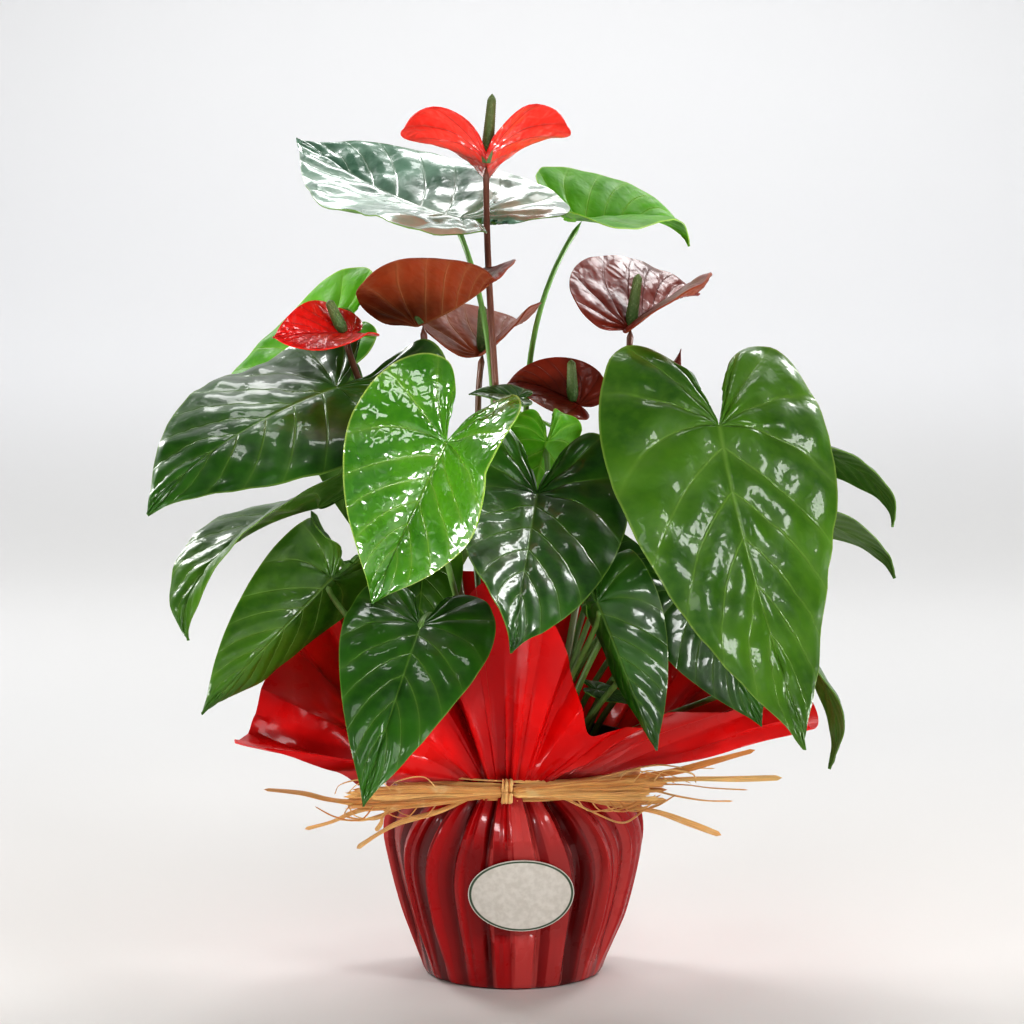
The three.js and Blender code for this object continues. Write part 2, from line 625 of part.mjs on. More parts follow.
function budGeometry() {
  const lean = vector(...bud.lean).normalize();
  const end = vector(...bud.at).addScaledVector(lean, 1);
  const stem = toSolid(stalk(petioleRadius, bud, end, lean, leafStalkSteps));
  const profile = [[0, 0], [bud.radius * 0.7, 2], [bud.radius, bud.length * 0.35], [0, bud.length]]
    .map(([r, z]) => new THREE.Vector2(r, z));
  const tip = upright(new THREE.LatheGeometry(profile, spadixSides));
  tip.applyQuaternion(new THREE.Quaternion().setFromUnitVectors(vector(0, 0, 1), lean));
  tip.translate(...bud.at);
  return toGeometry(stem.add(toSolid(tip)));
}

// A flat raffia strip along a smooth route, its width upright
function stripSolid({ route, width, thickness }) {
  const curve = new THREE.CatmullRomCurve3(route.map((p) => vector(...p)));
  const half = vector(0, 0, width / 2);
  const rows = curve.getPoints(stripSteps).map((p) => [p.clone().sub(half), p.clone().add(half)]);
  return toSolid(thicken(rows, thickness));
}

function bundleGeometry(bundle) {
  return toGeometry(bundle.map(stripSolid).reduce((all, strip) => all.add(strip)));
}

function knotGeometry() {
  const ball = new THREE.IcosahedronGeometry(1, 1);
  ball.scale(knotSize[0] / 2, knotSize[1] / 2, knotSize[2] / 2);
  return ball.translate(...knotPlace);
}

// Sign: an oval card bent round the skirt, just clear of its pleats
function signGeometry() {
  const [low, high] = [skirtProfile[2], skirtProfile[3]];
  const clear = high[2] + touch + signThickness / 2;
  const point = (x, z) => {
    const radius = low[0] + ((high[0] - low[0]) * (z - low[1])) / (high[1] - low[1]) + clear;
    return onCircle(radius, THREE.MathUtils.radToDeg(x / radius), z);
  };
  const rows = signRings.map((u) => Array.from({ length: signSides }, (_, i) => {
    const angle = (2 * Math.PI * i) / signSides;
    return point(signCentre[0] + (u * signSize[0] * Math.cos(angle)) / 2,
      signCentre[1] + (u * signSize[1] * Math.sin(angle)) / 2);
  }));
  return thicken(rows, signThickness, true);
}

for (const [name, pose] of Object.entries(leaves)) {
  addNode(name, toGeometry(leafSolid(pose)), leafGreen);
}

for (const [name, pose] of Object.entries(flowers)) {
  const red = name === 'top' || name === 'left';
  addNode(`spathe_${name}`, toGeometry(bladeSolid(spatheHalf, pose)), red ? spatheRed : spatheDark);
  addNode(`spadix_${name}`, spadixGeometry(pose), spadixGreen);
  addNode(`peduncle_${name}`, peduncleGeometry(pose), stemGreen);
}
addNode('bud', budGeometry(), spatheDark);
addNode('raffia_left', bundleGeometry(leftBundle), raffiaTan);
addNode('raffia_right', bundleGeometry(rightBundle), raffiaTan);
addNode('raffia_knot', knotGeometry(), raffiaTan);
addNode('sign', signGeometry(), signWhite);

addNode('pot', potGeometry(), potBlack);
addNode('soil', soilGeometry(), soilBrown);
addNode('wrap_skirt', skirtGeometry(), filmRed);
addNode('wrap_collar', collarGeometry(), filmRed);
addNode('raffia_band', bandGeometry(), raffiaTan);

export default anthurium;
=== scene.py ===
import math
import random

import bmesh
import bpy
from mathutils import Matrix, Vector, noise


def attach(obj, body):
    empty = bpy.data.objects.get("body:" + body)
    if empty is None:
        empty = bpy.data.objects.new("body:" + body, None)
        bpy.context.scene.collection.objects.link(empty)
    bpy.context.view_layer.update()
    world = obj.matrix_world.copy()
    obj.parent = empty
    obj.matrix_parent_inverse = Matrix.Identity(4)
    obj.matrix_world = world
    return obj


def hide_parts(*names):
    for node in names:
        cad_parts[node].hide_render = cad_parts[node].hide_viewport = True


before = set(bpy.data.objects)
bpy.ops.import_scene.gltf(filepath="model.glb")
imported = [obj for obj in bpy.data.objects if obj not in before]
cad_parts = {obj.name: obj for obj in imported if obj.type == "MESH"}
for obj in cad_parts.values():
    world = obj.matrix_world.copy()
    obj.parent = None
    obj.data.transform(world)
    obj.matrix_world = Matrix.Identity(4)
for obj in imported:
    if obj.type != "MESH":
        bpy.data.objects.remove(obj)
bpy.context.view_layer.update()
mm = 0.001  # shapes are worked out in millimetres and scaled as each piece is finished
roundTurn = 6.28  # a full turn, near enough for waves and random starts
print("frame loaded with", len(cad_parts), "nodes")


def addObject(name, data):
    made = bpy.data.objects.new(name, data)
    bpy.context.scene.collection.objects.link(made)
    return made


# The camera stands in front of the plant, a little above its middle
viewpoint = dict(eye=(0, -1600, 400), lens=98.4, sensor=36, pitch=4.786, yaw=0.02)
cameraData = bpy.data.cameras.new("viewCamera")
cameraData.lens, cameraData.sensor_width = viewpoint["lens"], viewpoint["sensor"]
camera = addObject("viewCamera", cameraData)
camera.location = Vector(viewpoint["eye"]) * mm
camera.rotation_euler = (math.radians(90 - viewpoint["pitch"]), 0, math.radians(viewpoint["yaw"]))
bpy.context.scene.camera = camera


def smoothStep(low, high, x):
    w = min(max((x - low) / (high - low), 0), 1)
    return w * w * (3 - 2 * w)


def onCircle(radius, heading, z):
    h = math.radians(heading)
    return Vector((radius * math.sin(h), -radius * math.cos(h), z))


def catmull(points, t):
    # a smooth curve through the points, with t running from 0 to 1
    n = len(points)
    i = min(int(t * (n - 1)), n - 2)
    w = t * (n - 1) - i
    p1, p2 = points[i], points[i + 1]
    p0 = points[i - 1] if i else p1 * 2 - p2
    p3 = points[i + 2] if i + 2 < n else p2 * 2 - p1
    m1, m2 = (p2 - p0) * 0.5, (p3 - p1) * 0.5
    return (p1 * (2 * w**3 - 3 * w**2 + 1) + m1 * (w**3 - 2 * w**2 + w)
            + p2 * (3 * w**2 - 2 * w**3) + m2 * (w**3 - w**2))


# Mesh helpers: a grid is rolled or bent into place by moving its vertices
def startGrid(columns, rows):
    bm = bmesh.new()
    bm.loops.layers.uv.new("surface")
    bmesh.ops.create_grid(bm, x_segments=columns, y_segments=rows, size=0.5, calc_uvs=True)
    return bm


def closeUp(bm, near=1e-3):
    bmesh.ops.remove_doubles(bm, verts=bm.verts, dist=near)
    bmesh.ops.recalc_face_normals(bm, faces=bm.faces)


def toMesh(bm, name):
    mesh = bpy.data.meshes.new(name)
    bm.to_mesh(mesh)
    bm.free()
    return mesh


def appliedMesh(thing):
    bpy.context.view_layer.update()
    return bpy.data.meshes.new_from_object(thing.evaluated_get(bpy.context.evaluated_depsgraph_get()))


def rollTube(path, radiusAt, rings, sides, flat=1.0, spin=0.0):
    # a closed tube along the path, its ends drawn together; flat squashes the section
    bm = startGrid(sides, rings)
    points = [path(i / rings) for i in range(rings + 1)]
    tangents = [(points[min(i + 1, rings)] - points[max(i - 1, 0)]).normalized()
                for i in range(rings + 1)]
    normal = tangents[0].orthogonal().normalized()
    frames = []
    for tangent in tangents:
        normal = (normal - tangent * normal.dot(tangent)).normalized()
        frames.append((normal.copy(), tangent.cross(normal)))
    for v in bm.verts:
        s, turn = v.co.y + 0.5, (v.co.x + 0.5) * 2 * math.pi
        i = round(s * rings)
        radius = 0 if i in (0, rings) else radiusAt(s, turn)
        n, b = frames[i]
        turned = n * math.cos(spin * s) + b * math.sin(spin * s)
        across = b * math.cos(spin * s) - n * math.sin(spin * s)
        v.co = points[i] + turned * radius * math.cos(turn) + across * radius * flat * math.sin(turn)
    closeUp(bm, 1e-4)
    return bm


def gather(parts, layer=None):
    # several meshes become one piece; each comes with its material index, or None to keep its own
    whole = bmesh.new()
    whole.loops.layers.uv.new("surface")
    if layer:
        whole.verts.layers.float.new(layer)
    for part, index in parts:
        if index is not None:
            for face in part.faces:
                face.material_index = index
        mesh = toMesh(part, "part")
        whole.from_mesh(mesh)
        bpy.data.meshes.remove(mesh)
    return whole


def thicken(bm, thickness, offset=0.0, underside=0):
    # an applied Solidify; the far side takes the material that many places further on
    mesh = toMesh(bm, "sheet")
    holder = addObject("sheet", mesh)
    wall = holder.modifiers.new("wall", "SOLIDIFY")
    wall.thickness, wall.offset, wall.use_even_offset = thickness, offset, False
    wall.material_offset = wall.material_offset_rim = underside
    for _ in range(underside + 1):
        mesh.materials.append(None)
    solid = appliedMesh(holder)
    thick = bmesh.new()
    thick.from_mesh(solid)
    bpy.data.objects.remove(holder)
    bpy.data.meshes.remove(mesh)
    bpy.data.meshes.remove(solid)
    return thick


def pieceName(kind, name):
    return kind + "".join(word.capitalize() for word in name.split("_"))


def finishPiece(bm, name, nodes, slotName, materials, sharpAngle=50):
    if bm.calc_volume(signed=True) < 0:
        bmesh.ops.reverse_faces(bm, faces=bm.faces)
    for edge in bm.edges:
        if len(edge.link_faces) == 2 and edge.calc_face_angle(0) > math.radians(sharpAngle):
            edge.smooth = False
    for face in bm.faces:
        face.smooth = True
    bmesh.ops.scale(bm, vec=(mm, mm, mm), verts=bm.verts)
    mesh = toMesh(bm, name)
    for material in materials:
        mesh.materials.append(material)
    piece = addObject(name, mesh)
    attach(piece, "root")
    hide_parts(*nodes)
    return piece


# Material helpers
def startMaterial(name, sockets):
    material = bpy.data.materials.new(name)
    material.use_nodes = True
    shader = material.node_tree.nodes["Principled BSDF"]
    for socket, value in sockets.items():
        shader.inputs[socket].default_value = value
    return material


def addNode(material, kind, inputs=None, **settings):
    node = material.node_tree.nodes.new(kind)
    for key, value in settings.items():
        setattr(node, key, value)
    for key, value in (inputs or {}).items():
        if isinstance(value, bpy.types.NodeSocket):
            material.node_tree.links.new(value, node.inputs[key])
        else:
            node.inputs[key].default_value = value
    return node


def sumOf(material, operation, *values):
    return addNode(material, "ShaderNodeMath", dict(enumerate(values)), operation=operation).outputs[0]


def blendColor(material, factor, first, second):
    first, second = ((*c, 1) if isinstance(c, tuple) else c for c in (first, second))
    return addNode(material, "ShaderNodeMix", {0: factor, 6: first, 7: second},
                   data_type="RGBA").outputs[2]


def objectPlace(material):
    return addNode(material, "ShaderNodeTexCoord").outputs["Object"]


def partsOf(material, value):
    return addNode(material, "ShaderNodeSeparateXYZ", {0: value}).outputs


def surfacePlace(material):
    return addNode(material, "ShaderNodeUVMap", uv_map="surface").outputs[0]


def layerValue(material, name):
    return addNode(material, "ShaderNodeAttribute", attribute_name=name).outputs["Fac"]


def noiseOn(material, place, scale, detail, stretch):
    mapped = addNode(material, "ShaderNodeMapping", {"Vector": place, "Scale": stretch}).outputs[0]
    return addNode(material, "ShaderNodeTexNoise",
                   {"Vector": mapped, "Scale": scale, "Detail": detail}).outputs[0]


def objectNoise(material, scale, detail=3.0, stretch=(1, 1, 1)):
    return noiseOn(material, objectPlace(material), scale, detail, stretch)


def ease(material, value, low, high, start=0.0, end=1.0):
    return addNode(material, "ShaderNodeMapRange", {
        "Value": value, "From Min": low, "From Max": high, "To Min": start, "To Max": end,
    }, interpolation_type="SMOOTHSTEP").outputs[0]


def plug(material, socket, value):
    material.node_tree.links.new(value, material.node_tree.nodes["Principled BSDF"].inputs[socket])


def bumpUp(material, height, distance, strength=1.0, under=None):
    inputs = {"Height": height, "Distance": distance, "Strength": strength}
    if under:
        inputs["Normal"] = under
    return addNode(material, "ShaderNodeBump", inputs).outputs[0]


# Blade veins run from the stalk's joint into the lobes and from the midrib to the margin.
# The same pattern shapes the mesh and colours it.
veins = dict(fan=9.0, along=5.0, lean=0.10, width=0.055, midrib=0.018)


def veinPlace(across, t):
    leaned = t - veins["lean"] * across * smoothStep(0.25, 0.6, t)
    return veins["fan"] * leaned + veins["along"] * max(0, leaned - 0.5)


def veinMask(material):
    # 1 on a vein, 0 between them, with the distance to the midrib and the place along the blade
    u, t, _ = partsOf(material, surfacePlace(material))
    across = sumOf(material, "ABSOLUTE", sumOf(material, "MULTIPLY_ADD", u, 2.0, -1.0))
    easing = ease(material, t, 0.25, 0.6)
    lean = sumOf(material, "MULTIPLY", sumOf(material, "MULTIPLY", across, veins["lean"]), easing)
    leaned = sumOf(material, "SUBTRACT", t, lean)
    late = sumOf(material, "MAXIMUM", sumOf(material, "SUBTRACT", leaned, 0.5), 0.0)
    place = sumOf(material, "MULTIPLY_ADD", late, veins["along"],
                  sumOf(material, "MULTIPLY", leaned, veins["fan"]))
    near = sumOf(material, "ABSOLUTE", sumOf(
        material, "SUBTRACT", sumOf(material, "FRACT", sumOf(material, "ADD", place, 0.5)), 0.5))
    side = ease(material, near, 0.0, veins["width"], 1.0, 0.0)
    taper = ease(material, across, 0.35, 1.0, 1.0, 0.25)
    side = sumOf(material, "MULTIPLY", side, taper)
    rib = ease(material, across, 0.0, veins["midrib"] * 2, 1.0, 0.0)
    return sumOf(material, "MAXIMUM", side, rib), near, across, t


def bladeMaterial(name, look):
    material = startMaterial(name, {
        "Coat Weight": look["coat"], "Coat Roughness": look["coatRoughness"],
        "Coat IOR": look["coatIor"],
        "Subsurface Weight": look["glow"], "Subsurface Radius": look["glowRadius"],
        "Subsurface Scale": 0.0016, "Specular IOR Level": look["specular"],
    })
    vein, near, across, t = veinMask(material)
    patches = ease(material, objectNoise(material, 22, 3), 0.35, 0.68)
    color = blendColor(material, patches, look["deep"], look["light"])
    fine = ease(material, objectNoise(material, 190, 4), 0.3, 0.75, 0.0, look["mottle"])
    color = blendColor(material, fine, color, look["fleck"])
    color = blendColor(material, sumOf(material, "MULTIPLY", vein, look["veinShow"]), color, look["vein"])
    halo = ease(material, near, 0.0, 0.28, look["veinShow"] * 0.35, 0.0)
    color = blendColor(material, halo, color, look["vein"])
    edge = ease(material, across, 0.975, 0.995, 0.0, look["edgeShow"])
    color = blendColor(material, edge, color, look["edge"])
    plug(material, "Base Color", color)
    plug(material, "Roughness", ease(material, objectNoise(material, 60, 4), 0.3, 0.7,
                                     look["roughness"] - 0.06, look["roughness"] + 0.10))
    pucker = objectNoise(material, look["puckerScale"], 2.5)
    cells = addNode(material, "ShaderNodeTexVoronoi", {
        "Vector": objectPlace(material), "Scale": look["cellScale"]}, feature="DISTANCE_TO_EDGE")
    cells = ease(material, cells.outputs["Distance"], 0.0, 0.35)
    normal = bumpUp(material, pucker, 0.0016, look["pucker"])
    normal = bumpUp(material, cells, 0.0005, look["cells"], normal)
    normal = bumpUp(material, vein, -0.0006, 0.6, normal)
    plug(material, "Normal", normal)
    plug(material, "Coat Normal", normal)
    return material


greenGlow = (0.7, 1.0, 0.15)
redGlow = (1.0, 0.12, 0.08)
# what most finishes share; each one below gives its colours and where it differs
plainBlade = dict(veinShow=0.5, edgeShow=0.3, mottle=0.3, specular=0.28, coat=0.05, coatRoughness=0.05,
                  coatIor=1.5, roughness=0.5, glow=0, glowRadius=greenGlow, puckerScale=110, cellScale=170)
bladeLooks = {
    "leafTop": dict(
        deep=(0.008, 0.048, 0.002), light=(0.026, 0.112, 0.005), fleck=(0.040, 0.140, 0.008),
        vein=(0.15, 0.28, 0.04), edge=(0.20, 0.32, 0.05), veinShow=0.42, edgeShow=0.5, mottle=0.35,
        coat=0.42, coatRoughness=0.045, roughness=0.34, puckerScale=45, pucker=0.16, cells=0.07),
    "leafMid": dict(
        deep=(0.022, 0.085, 0.004), light=(0.062, 0.170, 0.008), fleck=(0.085, 0.19, 0.012),
        vein=(0.18, 0.32, 0.05), edge=(0.24, 0.34, 0.06), edgeShow=0.5, mottle=0.35, coat=0.36,
        roughness=0.34, puckerScale=60, pucker=0.22, cells=0.16),
    "leafUnder": dict(
        deep=(0.040, 0.115, 0.012), light=(0.070, 0.175, 0.018), fleck=(0.09, 0.20, 0.03),
        vein=(0.16, 0.30, 0.06), edge=(0.20, 0.32, 0.06), veinShow=0.6, edgeShow=0.4, specular=0.25,
        coat=0.06, coatRoughness=0.3, puckerScale=95, pucker=0.22, cells=0.2),
    "youngLeafTop": dict(
        deep=(0.032, 0.17, 0.003), light=(0.085, 0.29, 0.006), fleck=(0.12, 0.35, 0.015),
        vein=(0.30, 0.50, 0.06), edge=(0.45, 0.55, 0.12), veinShow=0.45, edgeShow=0.7, coat=0.45,
        roughness=0.32, glow=0.12, puckerScale=80, pucker=0.34, cells=0.26),
    "youngLeafUnder": dict(
        deep=(0.085, 0.31, 0.006), light=(0.135, 0.41, 0.010), fleck=(0.17, 0.44, 0.03),
        vein=(0.30, 0.52, 0.08), edge=(0.42, 0.56, 0.12), edgeShow=0.5, specular=0.2, coatRoughness=0.3,
        glow=0.45, puckerScale=95, pucker=0.2, cells=0.16),
    "softLeaf": dict(
        deep=(0.060, 0.25, 0.004), light=(0.110, 0.36, 0.007), fleck=(0.14, 0.40, 0.02),
        vein=(0.26, 0.48, 0.06), edge=(0.42, 0.56, 0.12), edgeShow=0.6, specular=0.2,
        coatRoughness=0.25, glow=0.4, puckerScale=80, pucker=0.2, cells=0.16),
    "brightLeaf": dict(
        deep=(0.032, 0.17, 0.003), light=(0.085, 0.29, 0.006), fleck=(0.12, 0.35, 0.015),
        vein=(0.30, 0.50, 0.06), edge=(0.45, 0.55, 0.12), veinShow=0.45, edgeShow=0.7, specular=0.35,
        coat=1.0, coatRoughness=0.06, roughness=0.26, glow=0.12, puckerScale=70, pucker=0.34,
        cells=0.35, coatIor=1.8),
    # painted sheen: these pale grey-green colours stand in for the silvery sheen of this glossy leaf, laid
    # over its green
    "silverSheenLeaf": dict(
        deep=(0.050, 0.150, 0.085), light=(0.170, 0.340, 0.230), fleck=(0.24, 0.42, 0.30),
        vein=(0.36, 0.50, 0.36), edge=(0.30, 0.44, 0.24), veinShow=0.6, edgeShow=0.5, mottle=0.5,
        specular=0.4, coat=1.0, coatRoughness=0.14, roughness=0.30, puckerScale=45, pucker=0.2,
        cells=0.1, coatIor=1.6),
    "spatheRed": dict(
        deep=(0.44, 0.004, 0.003), light=(0.80, 0.012, 0.008), fleck=(0.86, 0.03, 0.02),
        vein=(0.26, 0.002, 0.002), edge=(0.60, 0.01, 0.01), mottle=0.25, specular=0.22, coat=0.42,
        roughness=0.32, glow=0.45, glowRadius=redGlow, pucker=0.5, cellScale=150, cells=0.5),
    # the underside's own red, raised brighter as painted light for the light shining through the spathe
    "spatheRedUnderBacklit": dict(
        deep=(0.78, 0.022, 0.014), light=(1.0, 0.060, 0.040), fleck=(0.96, 0.07, 0.05),
        vein=(0.26, 0.002, 0.002), edge=(0.60, 0.01, 0.01), veinShow=0.6, specular=0.25, coat=0.5,
        coatRoughness=0.06, roughness=0.36, glow=0.45, glowRadius=redGlow, pucker=0.7, cellScale=130,
        cells=0.6),
    "spatheDark": dict(
        deep=(0.100, 0.010, 0.004), light=(0.225, 0.026, 0.010), fleck=(0.24, 0.03, 0.015),
        vein=(0.050, 0.006, 0.004), edge=(0.24, 0.05, 0.03), specular=0.22, coat=0.14,
        coatRoughness=0.06, roughness=0.36, glowRadius=redGlow, puckerScale=90, pucker=0.34,
        cellScale=120, cells=0.4),
    "spatheDarkUnder": dict(
        deep=(0.150, 0.026, 0.007), light=(0.270, 0.042, 0.012), fleck=(0.25, 0.07, 0.03),
        vein=(0.34, 0.14, 0.06), edge=(0.26, 0.06, 0.03), veinShow=0.55, mottle=0.35, specular=0.14,
        coat=0.03, coatRoughness=0.25, roughness=0.46, glowRadius=redGlow, pucker=0.3, cellScale=150,
        cells=0.3),
}
finishes = {name: bladeMaterial(name, {**plainBlade, **look}) for name, look in bladeLooks.items()}


def stalkMaterial(name, look):
    material = startMaterial(name, {"Coat Weight": 0.25, "Coat Roughness": 0.2, "Roughness": 0.38,
                                    "Subsurface Weight": 0.15, "Subsurface Radius": (0.8, 1.0, 0.3),
                                    "Subsurface Scale": 0.002})
    height = partsOf(material, objectPlace(material))[2]
    streaks = objectNoise(material, 160, 4, (1, 1, 0.12))
    color = blendColor(material, ease(material, streaks, 0.35, 0.7), look["low"], look["streak"])
    color = blendColor(material, ease(material, height, *look["rising"]), color, look["high"])
    specks = ease(material, objectNoise(material, 900, 2), 0.66, 0.74, 0.0, 0.45)
    plug(material, "Base Color", blendColor(material, specks, color, look["speck"]))
    plug(material, "Normal", bumpUp(material, streaks, 0.0006, 0.35))
    return material


# a stalk goes over from its low to its high colour between the two heights, in metres
stalkLooks = {
    "petiole": dict(low=(0.10, 0.19, 0.04), streak=(0.15, 0.27, 0.06), high=(0.16, 0.34, 0.07),
                    speck=(0.28, 0.36, 0.14), rising=(0.16, 0.42)),
    "peduncle": dict(low=(0.12, 0.16, 0.05), streak=(0.20, 0.16, 0.07), high=(0.17, 0.055, 0.03),
                     speck=(0.30, 0.20, 0.12), rising=(0.22, 0.36)),
}
for name, look in stalkLooks.items():
    finishes[name] = stalkMaterial(name, look)

# Half outlines, across and along, of a blade that measures 1 from its stalk to its tip
leafHalf = [Vector(p) for p in (
    (0.055, -0.17), (0.10, -0.27), (0.20, -0.335), (0.305, -0.275), (0.37, -0.13), (0.39, 0.04),
    (0.372, 0.22), (0.32, 0.41), (0.24, 0.60), (0.145, 0.77), (0.05, 0.91), (0, 1))]
spatheHalf = [Vector(p) for p in (
    (0.03, -0.08), (0.10, -0.20), (0.24, -0.25), (0.38, -0.16), (0.46, 0), (0.475, 0.18),
    (0.43, 0.38), (0.34, 0.58), (0.22, 0.76), (0.11, 0.89), (0.035, 0.96), (0, 1))]
bladeShape = dict(halfWidth=0.39, spine=24, bow=0.1, lobeReach=0.3)
level = dict(roll=0, width=1, droop=0, tip=0, foldLeft=0, foldRight=0, cup=0, lobe=0, twist=0,
             sweep=0, bow=(0, 0, 0))


def bladeFrame(pose):
    h, p, r = (math.radians(pose[k]) for k in ("heading", "pitch", "roll"))
    along = Vector((math.cos(p) * math.sin(h), -math.cos(p) * math.cos(h), math.sin(p)))
    flatUp = Vector((-math.sin(p) * math.sin(h), math.sin(p) * math.cos(h), math.cos(p)))
    flatSide = flatUp.cross(along)
    up = flatUp * math.cos(r) + flatSide * math.sin(r)
    side = flatSide * math.cos(r) - flatUp * math.sin(r)
    return along, up, side


def bladeSurface(half, pose):
    # hand is -1 or 1, across runs 0 to 1 from midrib to margin, t 0 to 1 from the sinus to the tip
    along, up, side = bladeFrame(pose)
    length, width = pose["length"], pose["width"]
    droop, tip, lobe, twist, sweep, cup = (
        math.radians(pose[k]) for k in ("droop", "tip", "lobe", "twist", "sweep", "cup"))
    folds = {-1: math.radians(pose["foldLeft"]), 1: math.radians(pose["foldRight"])}
    steps = bladeShape["spine"]

    def bend(u):
        return -(droop * u + tip * u**4)

    spine = [Vector((0, 0, 0))]
    for i in range(steps):
        u = (i + 0.5) / steps
        run = (along * math.cos(bend(u)) * math.cos(sweep * u)
               + side * math.cos(bend(u)) * math.sin(sweep * u) + up * math.sin(bend(u)))
        spine.append(spine[-1] + run * (length / steps))
    bendAcross = cup / (bladeShape["halfWidth"] * length * width) or 1e-7
    start = Vector(pose["at"])

    def point(hand, across, t):
        edge = catmull(half, t)
        middle = max(0, (t - 0.5) / 0.5)
        dx, dy = edge.x * width, edge.y - middle
        bow = bladeShape["bow"] * across * (1 - across) * math.sin(math.pi * t)
        x = (dx * across + dy * bow) * length
        v = middle + dy * across - dx * bow
        forward, back = min(max(v, 0), 1), max(-v, 0)
        lift = lobe * back / bladeShape["lobeReach"] or 1e-6
        i = min(int(forward * steps), steps - 1)
        place = spine[i].lerp(spine[i + 1], forward * steps - i)
        place = (place - along * (math.sin(lift) / lift * back * length)
                 + up * ((1 - math.cos(lift)) / lift * back * length))
        if v >= 0:
            normal = up * math.cos(bend(forward)) - along * math.sin(bend(forward))
        else:
            normal = up * math.cos(lift) + along * math.sin(lift)
        swept = side * math.cos(sweep * forward) - along * math.sin(sweep * forward)
        turn = twist * forward
        lateral = swept * math.cos(turn) - normal * math.sin(turn)
        outward = normal * math.cos(turn) + swept * math.sin(turn)
        fold = folds[hand]
        reach = (math.sin(fold + bendAcross * x) - math.sin(fold)) / bendAcross
        rise = (math.cos(fold) - math.cos(fold + bendAcross * x)) / bendAcross
        return place + lateral * (hand * reach) + outward * rise + start

    return point


# columns and rows of a blade's mesh, and the quilting that a blade of the full length gets
quilting = dict(largeFrom=80, large=(44, 64), small=(32, 44), fullLength=150, veinWidth=0.17,
                midribWidth=0.07, margin=0.86, waves=3.1, dentScale=0.07)


def shapeBlade(half, pose, relief, seed):
    # one sheet with raised quilting between the veins and a waved margin, given its thickness
    point = bladeSurface(half, pose)
    bm = startGrid(*quilting["large" if pose["length"] > quilting["largeFrom"] else "small"])
    rule = random.Random(seed)
    phases = {-1: rule.uniform(0, roundTurn), 1: rule.uniform(0, roundTurn)}
    places = []
    for v in bm.verts:
        a, t = v.co.x * 2, v.co.y + 0.5
        hand, across = (-1 if a < 0 else 1), min(abs(a), 1)
        v.co = point(hand, across, t)
        places.append((v, hand, across, t))
    bmesh.ops.reverse_faces(bm, faces=bm.faces)
    bm.normal_update()
    scale = pose["length"] / quilting["fullLength"]
    lifts = []
    for v, hand, across, t in places:
        near = abs((veinPlace(across, t) + 0.5) % 1 - 0.5)
        quilt = 1 - math.exp(-((near / quilting["veinWidth"]) ** 2))
        middle = 1 - math.exp(-((across / quilting["midribWidth"]) ** 2))
        margin = 1 - smoothStep(quilting["margin"], 1.0, across)
        wave = (math.sin(roundTurn * quilting["waves"] * t + phases[hand]) * across**3
                * smoothStep(0, 0.1, t))
        grain = noise.noise(v.co * quilting["dentScale"] + Vector((seed, 0, 0)))
        lift = (relief["quilt"] * quilt * middle * margin + relief["wave"] * wave * (1 - t * 0.6)
                + relief["dent"] * grain * smoothStep(0, 0.2, across))
        lifts.append((v, v.normal * (lift * scale)))
    for v, lift in lifts:
        v.co += lift
    bmesh.ops.remove_doubles(bm, verts=bm.verts, dist=1e-3)
    return thicken(bm, relief["thickness"], 0.0, 1)


# How every stalk rises from the soil and arrives under its blade
stalkWays = dict(lean=0.12, rise=0.45, run=0.25, upright=0.8, soil=119, sunk=4, inset=4, taper=0.24,
                 wide=1.12, knuckleLength=5)


def stalkPath(pose, end, arrival):
    foot = onCircle(pose["foot"][0], pose["foot"][1], stalkWays["soil"] - stalkWays["sunk"])
    rise = end - foot
    low = foot + Vector((stalkWays["lean"] * rise.x, stalkWays["lean"] * rise.y,
                         stalkWays["rise"] * rise.z))
    high = end - arrival * (stalkWays["run"] * rise.length) + Vector(pose["bow"])

    def point(s):
        return (foot * (1 - s) ** 3 + low * (3 * s * (1 - s) ** 2)
                + high * (3 * s * s * (1 - s)) + end * s**3)

    return point


def shapeStalk(pose, radius, end, arrival, knuckle):
    # slightly thicker at its foot, with the pale swollen knuckle under a leaf blade
    path = stalkPath(pose, end, arrival)
    length = (path(1) - path(0)).length
    swollen = stalkWays["knuckleLength"]

    def radiusAt(s, turn):
        swell = knuckle * math.exp(-(((1 - s) * length - swollen) / swollen) ** 2)
        shape = stalkWays["wide"] - stalkWays["taper"] * s + swell
        return radius * shape * (1 + 0.03 * math.sin(3 * turn + 9 * s))

    return rollTube(path, radiusAt, 36, 10)


def arrivalOf(up):
    return (up + Vector((0, 0, stalkWays["upright"]))).normalized()


